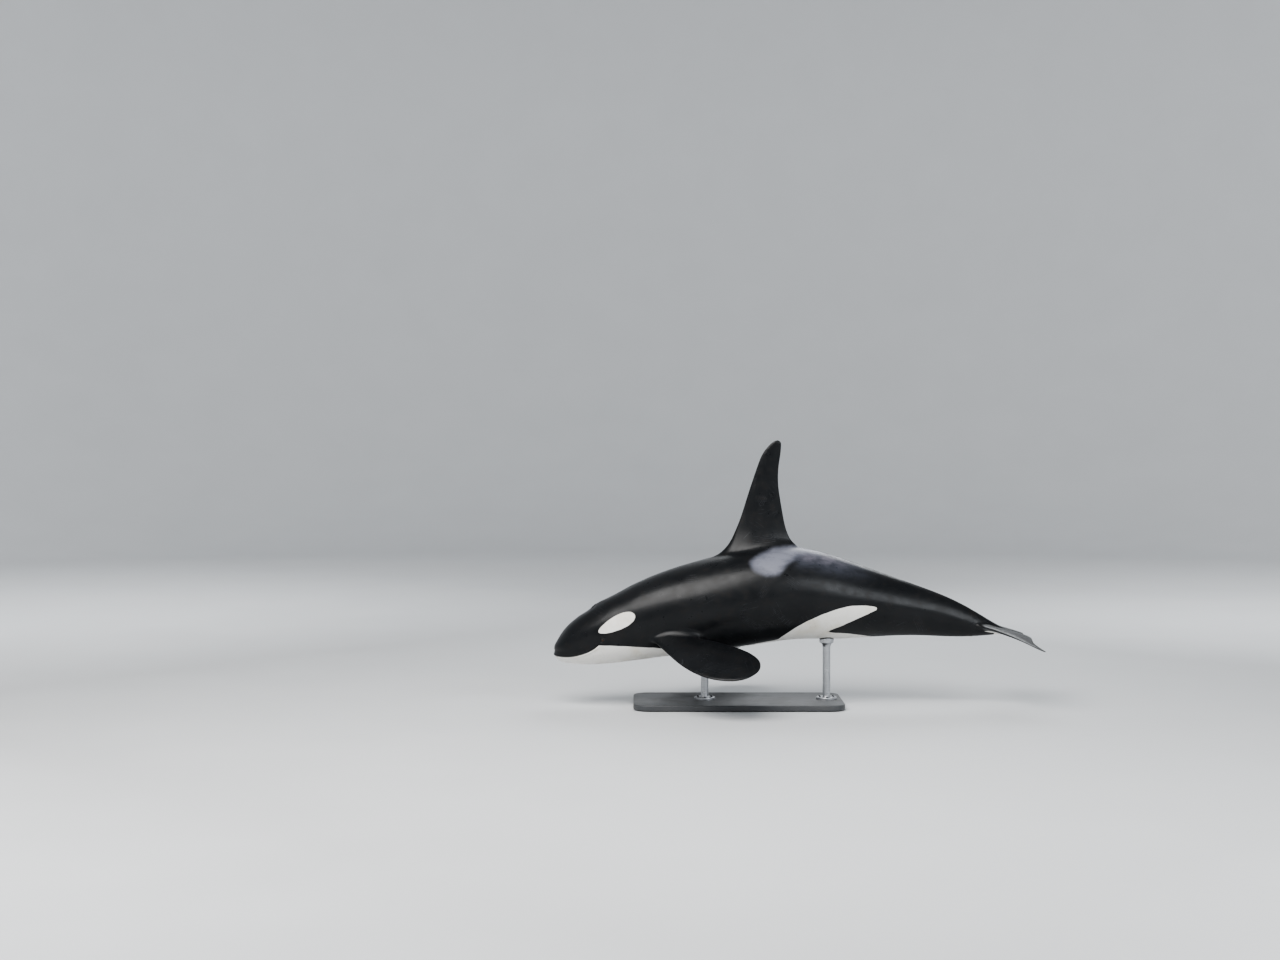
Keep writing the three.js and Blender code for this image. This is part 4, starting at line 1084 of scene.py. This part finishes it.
def skin_material():
    """Wet black, white and grey skin, painted by the distances that the mesh carries, with a painted sheen
    along the ridge behind the saddle.
    """
    f = Finish(
        "orca_skin_finish", Specular_IOR_Level=0.26, Coat_Weight=0.1, Coat_Roughness=0.16, Coat_IOR=1.33
    )
    broad, mottle, fine = f.cloud(1.3, 4.0, 0.55), f.cloud(9.0, 5.0, 0.6), f.cloud(60.0, 4.0, 0.6)
    streaks = f.cloud(5.0, 5.0, 0.6, 0.3, f.vector("MULTIPLY", f.at, (1.0, 2.2, 2.2)))
    scars = f.math("ADD", rake_marks(f, 1.7, 0.022, 0.0022, 0.17), rake_marks(f, 4.3, 0.05, 0.0014, 0.06))
    scars = f.math("MINIMUM", scars, 1.0)
    black = f.mix(f.ramp(broad, 0.35, 0.7), BLACK_DEEP, BLACK_SOFT)
    black = f.mix(f.ramp(mottle, 0.5, 0.72, 0, 0.55), black, BLACK_BROWN)
    black = f.mix(f.times(scars, 0.5), black, SCAR_PALE)

    # The band behind the saddle, strongest at the ridge: partly the back's own grey, partly a painted sheen
    # of sky light on the wet skin.
    band_and_sheen = f.times(f.carried("band_and_sheen"), f.ramp(streaks, 0.3, 0.65, 0.6, 1.0))
    colour = f.mix(f.ramp(band_and_sheen, 0.0, 0.45), black, f.mix(f.ramp(band_and_sheen, 0.35, 0.9), BAND_AND_SHEEN_FAR, BAND_AND_SHEEN_NEAR))
    saddle = f.carried("saddle")
    grey = f.mix(f.ramp(f.fray(saddle, streaks, 0.35), -0.04, 0.14), GREY_DARK, GREY_LIGHT)
    edge = f.fray(f.fray(saddle, fine, 0.012), mottle, 0.05)
    colour = f.mix(f.ramp(edge, -0.04, 0.06), colour, grey)

    white = f.mix(f.ramp(f.cloud(3.1, 5.0, 0.62), 0.45, 0.75, 0.0, 0.7), WHITE_CLEAN, WHITE_STAINED)
    white = f.mix(f.times(scars, 0.35), white, GREY_DARK)
    edge = f.fray(f.fray(f.carried("white"), fine, 0.004), mottle, 0.016)
    colour = f.mix(f.ramp(edge, -0.004, 0.004), colour, white)

    rough = f.math("ADD", f.ramp(mottle, 0.3, 0.75, 0.27, 0.42), f.times(scars, 0.12))
    normal = f.bump(f.cloud(420.0, 2.0), 0.0004, 0.35)
    normal = f.bump(fine, 0.0006, 0.4, normal)
    return f.done(colour, rough, f.bump(scars, -0.0015, 0.6, normal))


EYE_TURNS, EYE_STEPS = 64, 40
IRIS, PUPIL, PUPIL_STRETCH = 0.56, 0.2, 1.7  # radii as shares of the eyeball's, and length over height
IRIS_DARK, IRIS_BROWN = (0.012, 0.0055, 0.003, 1), (0.062, 0.029, 0.012, 1)
IRIS_RIM = (0.010, 0.010, 0.013, 1)
SCLERA, SCLERA_VEIN = (0.012, 0.010, 0.010, 1), (0.035, 0.018, 0.015, 1)
PUPIL_BLACK = (0.0012, 0.0014, 0.002, 1)


def make_eye(side, name):
    """An eyeball, with the place of each point on its front for the iris and the pupil."""
    polar = math.pi * np.arange(1, EYE_STEPS)[:, None] / EYE_STEPS
    turn = 2 * math.pi * np.arange(EYE_TURNS) / EYE_TURNS
    x, y = np.sin(polar) * np.cos(turn), np.sin(polar) * np.sin(turn)
    rings = np.stack((x, y, np.cos(polar) + 0 * turn), -1)
    flat = np.concatenate(([(0, 0, 1)], rings.reshape(-1, 3), [(0, 0, -1)]))
    last = len(flat) - 1 - EYE_TURNS
    beside = [(j, (j + 1) % EYE_TURNS) for j in range(EYE_TURNS)]
    faces = [(0, 1 + j, 1 + k) for j, k in beside]
    faces += [(a + 1, d + 1, c + 1, b + 1) for a, b, c, d in quads_between(rings)]
    faces += [(last + k, last + j, len(flat) - 1) for j, k in beside]
    middle = EYE_CENTRE - EYE_NORMAL * EYE_SINK
    points = (middle + EYE_RADIUS * flat @ np.array((EYE_ALONG, EYE_AROUND, EYE_NORMAL))) * (1, side, 1)
    piece = new_mesh(name, points, faces)
    add_values(piece, "eye_x", np.where(flat[:, 2] > 0, flat[:, 0], 2))
    add_values(piece, "eye_y", flat[:, 1])
    edit(piece, face_outward)
    return piece


def edit(piece, change):
    """Changes a mesh by a function of its bmesh."""
    shape = bmesh.new()
    shape.from_mesh(piece.data)
    change(shape)
    shape.to_mesh(piece.data)
    shape.free()
    piece.data.update()


def face_outward(shape):
    """Turns all faces of a closed mesh outward."""
    bmesh.ops.recalc_face_normals(shape, faces=shape.faces)


def eye_material():
    """Dark brown iris with fine rays, a long pupil and a dim bluish ring, all under a wet gloss."""
    f = Finish(
        "orca_eye_finish", Roughness=0.12, Specular_IOR_Level=0.15, Coat_Weight=0.8, Coat_Roughness=0.03,
        Coat_IOR=1.35,
    )
    x, y = f.carried("eye_x"), f.carried("eye_y")
    flat = f.node("CombineXYZ", {0: x, 1: y})[0]
    radius = f.vector("LENGTH", flat, out="Value")
    rays = f.node("CombineXYZ", {0: f.times(f.math("ARCTAN2", y, x), 9.0), 1: f.times(radius, 3.0)})[0]
    iris = f.mix(f.ramp(f.cloud(2.4, 4.0, 0.7, at=rays), 0.3, 0.7), IRIS_DARK, IRIS_BROWN)
    iris = f.mix(f.ramp(radius, IRIS * 0.7, IRIS), iris, IRIS_RIM)
    veins = f.ramp(f.cloud(14.0, 5.0, 0.65, 1.2, flat), 0.5, 0.62)
    colour = f.mix(f.ramp(radius, IRIS - 0.02, IRIS + 0.03), iris, f.mix(veins, SCLERA, SCLERA_VEIN))
    pupil = f.node("CombineXYZ", {0: x, 1: f.times(y, PUPIL_STRETCH)})[0]
    pupil = f.ramp(f.vector("LENGTH", pupil, out="Value"), PUPIL + 0.02, PUPIL - 0.02)
    return f.done(f.mix(pupil, colour, PUPIL_BLACK))


# The display stand: the same sizes as in the solids.
BASE = dict(length=3.0, width=1.4, height=0.09, corner=0.22, bevel=0.014)
ROD_STATIONS = (("stand_rod_front", 0.315), ("stand_rod_rear", 0.6))
ROD_RADIUS, COLLAR_RADIUS, FLANGE_RADIUS, FLANGE_HEIGHT = 0.055, 0.105, 0.15, 0.034
GAP = 0.0003
CAP_RADIUS = 0.02  # of the small flat cap that closes a turned piece
PAD_THICK, FOOT_THICK, FOOT_INSET, PLATE_INSET, LOWER_EDGE = 0.014, 0.012, 0.024, 0.03, 0.006
SHARP = 40  # angle in degrees from which an edge of the plate stays sharp
FLANGE_EDGE, FILLET, ROD_SIDES = 0.01, 0.014, 72
CONE_DROP, CONE_HEIGHT, CONE_WIDTH = 0.13, 0.07, COLLAR_RADIUS - ROD_RADIUS - 0.004
SCREWS, SCREW_CIRCLE, SCREW_RADIUS, SCREW_HEIGHT, SCREW_SIDES = 6, 0.112, 0.0135, 0.012, 36
SOCKET, SOCKET_DEPTH = 0.0068, 0.008
PAINT_CLEAN, PAINT_DUSTY = (0.060, 0.063, 0.067, 1), (0.078, 0.080, 0.082, 1)
STEEL_DARK, STEEL_LIGHT = (0.40, 0.41, 0.43, 1), (0.56, 0.57, 0.585, 1)
RUBBER_BLACK, RUBBER_GREY = (0.012, 0.012, 0.012, 1), (0.028, 0.027, 0.026, 1)
OXIDE_DARK, OXIDE_LIGHT = (0.05, 0.05, 0.055, 1), (0.11, 0.11, 0.115, 1)


def rounding(steps):
    """Shares of a rounding's radius that it falls short by, across and along, from one end to the other."""
    return [(1 - math.cos(turn), 1 - math.sin(turn)) for turn in np.linspace(0, math.pi / 2, steps)]


def rounded_outline(length, width, corner, steps):
    """Points round a rectangle with round corners, and the outward direction at each."""
    points, outward = [], []
    for k, (sx, sy) in enumerate(((1, 1), (-1, 1), (-1, -1), (1, -1))):
        for turn in np.linspace(0, math.pi / 2, steps + 1) + math.pi / 2 * k:
            out = np.array((math.cos(turn), math.sin(turn)))
            points.append(corner * out + (sx * (length / 2 - corner), sy * (width / 2 - corner)))
            outward.append(out)
    return np.array(points), np.array(outward)


def quads_between(rings):
    """Faces between neighbouring rings of points, by number."""
    size = len(rings[0])
    return [
        (i * size + k, i * size + (k + 1) % size, (i + 1) * size + (k + 1) % size, (i + 1) * size + k)
        for i in range(len(rings) - 1) for k in range(size)
    ]


def loft(name, rings, sharp=None):
    """A closed mesh through rings of points, with sharp edges over an angle in degrees if it is given."""
    size, count = len(rings[0]), len(rings[0]) * len(rings)
    faces = quads_between(rings) + [tuple(range(size))[::-1], tuple(range(count - size, count))]
    piece = new_mesh(name, np.concatenate(rings), faces)

    def change(shape):
        face_outward(shape)
        for edge in shape.edges if sharp else ():
            edge.smooth = edge.calc_face_angle(math.pi) < math.radians(sharp)

    edit(piece, change)
    return piece


def make_base():
    """The painted plate of the stand, with rounded edges and a set-back rubber foot."""
    outline, outward = rounded_outline(BASE["length"], BASE["width"], BASE["corner"], 24)

    def ring(inset, z):
        return np.column_stack((outline - outward * inset, np.full(len(outline), z)))

    bevel, height = BASE["bevel"], BASE["height"]
    rings = [ring(PLATE_INSET, FOOT_THICK)]
    rings += [ring(LOWER_EDGE * y, FOOT_THICK + LOWER_EDGE * x) for x, y in rounding(9)]
    rings += [ring(bevel * x, height - bevel * y) for x, y in rounding(9)]
    plate = loft("stand_plate", rings, SHARP)
    foot = [ring(FOOT_INSET + 0.002, 0), ring(FOOT_INSET, 0.002), ring(FOOT_INSET, FOOT_THICK - GAP)]
    rubber = loft("stand_foot_pad", foot, SHARP)
    return plate, rubber


def turned_rings(profile, middle, sides, top_of=None):
    """Rings of a turned piece: radius and height, the height counted from top_of where that is given."""
    turns = 2 * math.pi * np.arange(sides) / sides
    rings = []
    for radius, height in profile:
        x, y = middle[0] + radius * np.cos(turns), middle[1] + radius * np.sin(turns)
        above = [top_of(px, py) for px, py in zip(x, y)] if top_of else 0
        rings.append(np.column_stack((x, y, np.full(sides, height) + above)))
    return rings


def make_rod(name, station, tree):
    """A steel rod with its foot flange and screws, its collar and the rubber pad under the belly."""
    belly = body_point(station, math.pi)
    middle, top = (belly[0], 0.0), float(belly[2])
    foot, cone = BASE["height"] + GAP, top - CONE_DROP
    flange = foot + FLANGE_HEIGHT

    def under(x, y):
        hit = tree.ray_cast(Vector((x, y, 0.2)), Vector((0, 0, 1)))[0]
        return hit.z if hit else top

    def fitted(profile):
        return turned_rings(profile, middle, ROD_SIDES, under)

    rounds = rounding(6)
    profile = [(CAP_RADIUS, foot), (FLANGE_RADIUS, foot)]
    profile += [(FLANGE_RADIUS - FLANGE_EDGE * x, flange - FLANGE_EDGE * y) for x, y in rounds]
    profile += [(ROD_RADIUS + FILLET * y, flange + FILLET * x) for x, y in rounds]
    profile += [(ROD_RADIUS, cone)]
    profile += [(ROD_RADIUS + CONE_WIDTH * x, cone + CONE_HEIGHT * (1 - y)) for x, y in rounds[1:]]
    collar = [(COLLAR_RADIUS - 0.001, -0.03), (COLLAR_RADIUS - 0.001, -PAD_THICK - 0.003)]
    collar += [(radius, -PAD_THICK) for radius in (COLLAR_RADIUS - 0.004, 0.06, CAP_RADIUS)]
    rod = loft(name + "_bar", turned_rings(profile, middle, ROD_SIDES) + fitted(collar), 35)
    pad_profile = [(CAP_RADIUS, -PAD_THICK + GAP), (COLLAR_RADIUS - 0.008, -PAD_THICK + GAP)]
    pad_profile += [
        (COLLAR_RADIUS - inset, -height)
        for inset, height in ((0.003, PAD_THICK - 0.004), (0.002, 0.006), (0.006, 0.0015), (0.014, GAP))
    ]
    pad = loft(name + "_pad", fitted(pad_profile + [(CAP_RADIUS, -GAP)]))
    heads = []
    for turn in 2 * math.pi * (np.arange(SCREWS) + 0.5) / SCREWS:
        at = middle[0] + SCREW_CIRCLE * math.cos(turn), SCREW_CIRCLE * math.sin(turn)
        heads.append(make_screw(at, flange, turn))
    return rod, pad, joined(name + "_screws", heads)


def make_screw(middle, z, turn):
    """A socket cap screw's head: a round cap with a rounded edge and a six-sided socket."""
    turns = 2 * math.pi * np.arange(SCREW_SIDES) / SCREW_SIDES
    hexagon = SOCKET / np.cos((turns + turn) % (math.pi / 3) - math.pi / 6) * math.cos(math.pi / 6)
    radius, height = SCREW_RADIUS, SCREW_HEIGHT
    profile = (
        (radius, -0.002), (radius, height - 0.002), (radius - 0.0006, height - 0.0006),
        (radius - 0.002, height), (hexagon, height), (hexagon, height - SOCKET_DEPTH),
    )
    return loft("screw", turned_rings([(wide, z + high) for wide, high in profile], middle, SCREW_SIDES), 30)


def joined(name, pieces):
    """Several meshes as one piece."""
    shape = bmesh.new()
    for piece in pieces:
        shape.from_mesh(piece.data)
        bpy.data.objects.remove(piece)
    mesh = bpy.data.meshes.new(name)
    shape.to_mesh(mesh)
    shape.free()
    return new_object(name, mesh)


def paint_material():
    """Dark grey powder coat, faintly textured and dusty."""
    f = Finish("stand_paint_finish", Specular_IOR_Level=0.45)
    dust = f.ramp(f.cloud(2.4, 6.0, 0.6), 0.4, 0.75)
    orange_peel = f.bump(f.cloud(260.0, 2.0), 0.0006, 0.4)
    return f.done(f.mix(dust, PAINT_CLEAN, PAINT_DUSTY), f.ramp(dust, 0, 1, 0.44, 0.58), orange_peel)


def steel_material():
    """Brushed stainless steel with fine turning lines."""
    f = Finish("stand_steel_finish", Metallic=1.0)
    lines = f.cloud(2.0, 4.0, 0.7, at=f.vector("MULTIPLY", f.at, (3.0, 3.0, 260.0)))
    smears = f.ramp(f.cloud(7.0, 4.0, 0.6), 0.35, 0.7, 0.24, 0.36)
    colour = f.mix(f.ramp(lines, 0.3, 0.7), STEEL_DARK, STEEL_LIGHT)
    rough = f.math("ADD", smears, f.ramp(lines, 0.3, 0.7, 0.0, 0.06))
    return f.done(colour, rough, f.bump(lines, 0.0003, 0.5))


def rubber_material():
    """Matt black rubber."""
    f = Finish("stand_rubber_finish", Specular_IOR_Level=0.3)
    grain = f.cloud(180.0, 3.0, 0.6)
    colour = f.mix(f.cloud(12.0, 4.0), RUBBER_BLACK, RUBBER_GREY)
    return f.done(colour, f.ramp(grain, 0.3, 0.7, 0.6, 0.78), f.bump(grain, 0.0008, 0.4))


def oxide_material():
    """Blackened steel of the screws."""
    f = Finish("stand_screw_finish", Metallic=1.0)
    grain = f.cloud(90.0, 4.0, 0.6)
    return f.done(f.mix(grain, OXIDE_DARK, OXIDE_LIGHT), f.ramp(grain, 0.3, 0.7, 0.3, 0.45))


# The floor and its backdrop, the lamps and the surround.
STAGE_FLAT, STAGE_CURVE, STAGE_TOP, STAGE_SIDES = 34, 16, 26, 96
FLOOR_DARK, FLOOR_LIGHT = (0.60, 0.61, 0.62, 1), (0.64, 0.65, 0.66, 1)
LAMPS = (
    ("key", (-6, -11, 15), (0, 0, 1.6), (16, 12), 4600, (1.0, 0.985, 0.965)),
    ("fill", (11, -13, 8), (0, 0, 1.5), (9, 6), 900, (0.93, 0.965, 1.0)),
    ("back", (4, 13, 12), (0, 0, 1.8), (12, 7), 1100, (0.95, 0.98, 1.0)),
)
WALL_POWER, WALL_COLOUR = 5200, (0.97, 0.985, 1.0)
SKY_COLOUR, SKY_STRENGTH = (0.86, 0.9, 0.95, 1), 0.3


def make_stage():
    """A pale floor that curves up into a round backdrop."""
    profile = [(4, 0), (12, 0), (STAGE_FLAT, 0)]
    profile += [
        (STAGE_FLAT + STAGE_CURVE * math.sin(turn), STAGE_CURVE * (1 - math.cos(turn)))
        for turn in np.linspace(0.1, math.pi / 2, 12)
    ]
    profile += [(STAGE_FLAT + STAGE_CURVE, STAGE_TOP)]
    rings = turned_rings(profile, (0, 0), STAGE_SIDES)
    faces = [face[::-1] for face in quads_between(rings)] + [tuple(range(STAGE_SIDES))]
    floor = new_mesh("floor", np.concatenate(rings), faces)
    f = Finish("floor_finish", Specular_IOR_Level=0.2)
    tone = f.cloud(0.6, 4.0)
    finish = f.done(f.mix(tone, FLOOR_DARK, FLOOR_LIGHT), f.ramp(tone, 0.3, 0.7, 0.7, 0.8))
    floor.data.materials.append(finish)


def area_light(name, at, target, size, power, colour):
    """A soft rectangular lamp aimed at a point."""
    lamp = bpy.data.lights.new(name, "AREA")
    lamp.shape = "RECTANGLE"
    lamp.size, lamp.size_y = size
    lamp.energy, lamp.color = power, colour
    made = new_object(name, lamp)
    made.location = at
    made.rotation_euler = (Vector(target) - Vector(at)).to_track_quat("-Z", "Y").to_euler()
    made.visible_camera = False


def make_lights():
    """Soft studio light from above, a cooler fill and a pale surround."""
    for lamp in LAMPS:
        area_light(*lamp)
    for k, (x, y) in enumerate(((-24, 20), (24, 20), (24, -20), (-24, -20))):
        near, far = (x * 0.4, y * 0.4, 16), (x * 1.6, y * 1.6, 9)
        area_light(f"wall_{k}", near, far, (12, 6), WALL_POWER, WALL_COLOUR)
    world = bpy.data.worlds.new("surround")
    world.use_nodes = True
    sky = world.node_tree.nodes["Background"].inputs
    sky["Color"].default_value, sky["Strength"].default_value = SKY_COLOUR, SKY_STRENGTH
    bpy.context.scene.world = world
    bpy.context.scene.view_settings.look = "AgX - Medium High Contrast"


CAMERA_DISTANCE, CAMERA_HEIGHT, CAMERA_PITCH = 28.7, 4.105, 1.72
CAMERA_X = FIN_X - 1.736  # the fin's middle lies right of the middle of the picture
LENS, SENSOR, CLIP_END = 56.25, 36, 400


def make_camera():
    """A camera broadside to the left flank, where the photographer stood."""
    lens = bpy.data.cameras.new("camera")
    lens.lens, lens.sensor_width, lens.clip_end = LENS, SENSOR, CLIP_END
    camera = new_object("camera", lens)
    camera.location = (CAMERA_X, -CAMERA_DISTANCE, CAMERA_HEIGHT)
    camera.rotation_euler = (math.radians(90 - CAMERA_PITCH), 0, 0)
    bpy.context.scene.camera = camera


def dress(piece, finish):
    """Gives a piece its material and slot, and has it ride on the body."""
    piece.data.materials.clear()
    piece.data.materials.append(finish)
    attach(piece, "root")


FLESH = (
    "head", "lower_jaw", "thorax", "abdomen", "tail_stock_front", "tail_stock_rear", "dorsal_fin",
    "flipper_left", "flipper_right", "fluke_left", "fluke_right",
)

make_camera()
skin_piece = make_skin()
dress(skin_piece, skin_material())
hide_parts(*FLESH)

eye_finish = eye_material()
for side_sign, eye_name in ((1, "eye_left"), (-1, "eye_right")):
    ball = make_eye(side_sign, eye_name + "_ball")
    dress(ball, eye_finish)
    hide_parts(eye_name)

skin_tree = BVHTree.FromObject(skin_piece, bpy.context.evaluated_depsgraph_get())
paint, steel, rubber, oxide = paint_material(), steel_material(), rubber_material(), oxide_material()
plate_piece, foot_piece = make_base()
dress(plate_piece, paint)
dress(foot_piece, rubber)
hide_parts("stand_base")
for rod_name, rod_station in ROD_STATIONS:
    rod_piece, pad_piece, screw_piece = make_rod(rod_name, rod_station, skin_tree)
    dress(rod_piece, steel)
    dress(pad_piece, rubber)
    dress(screw_piece, oxide)
    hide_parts(rod_name)

make_stage()
make_lights()
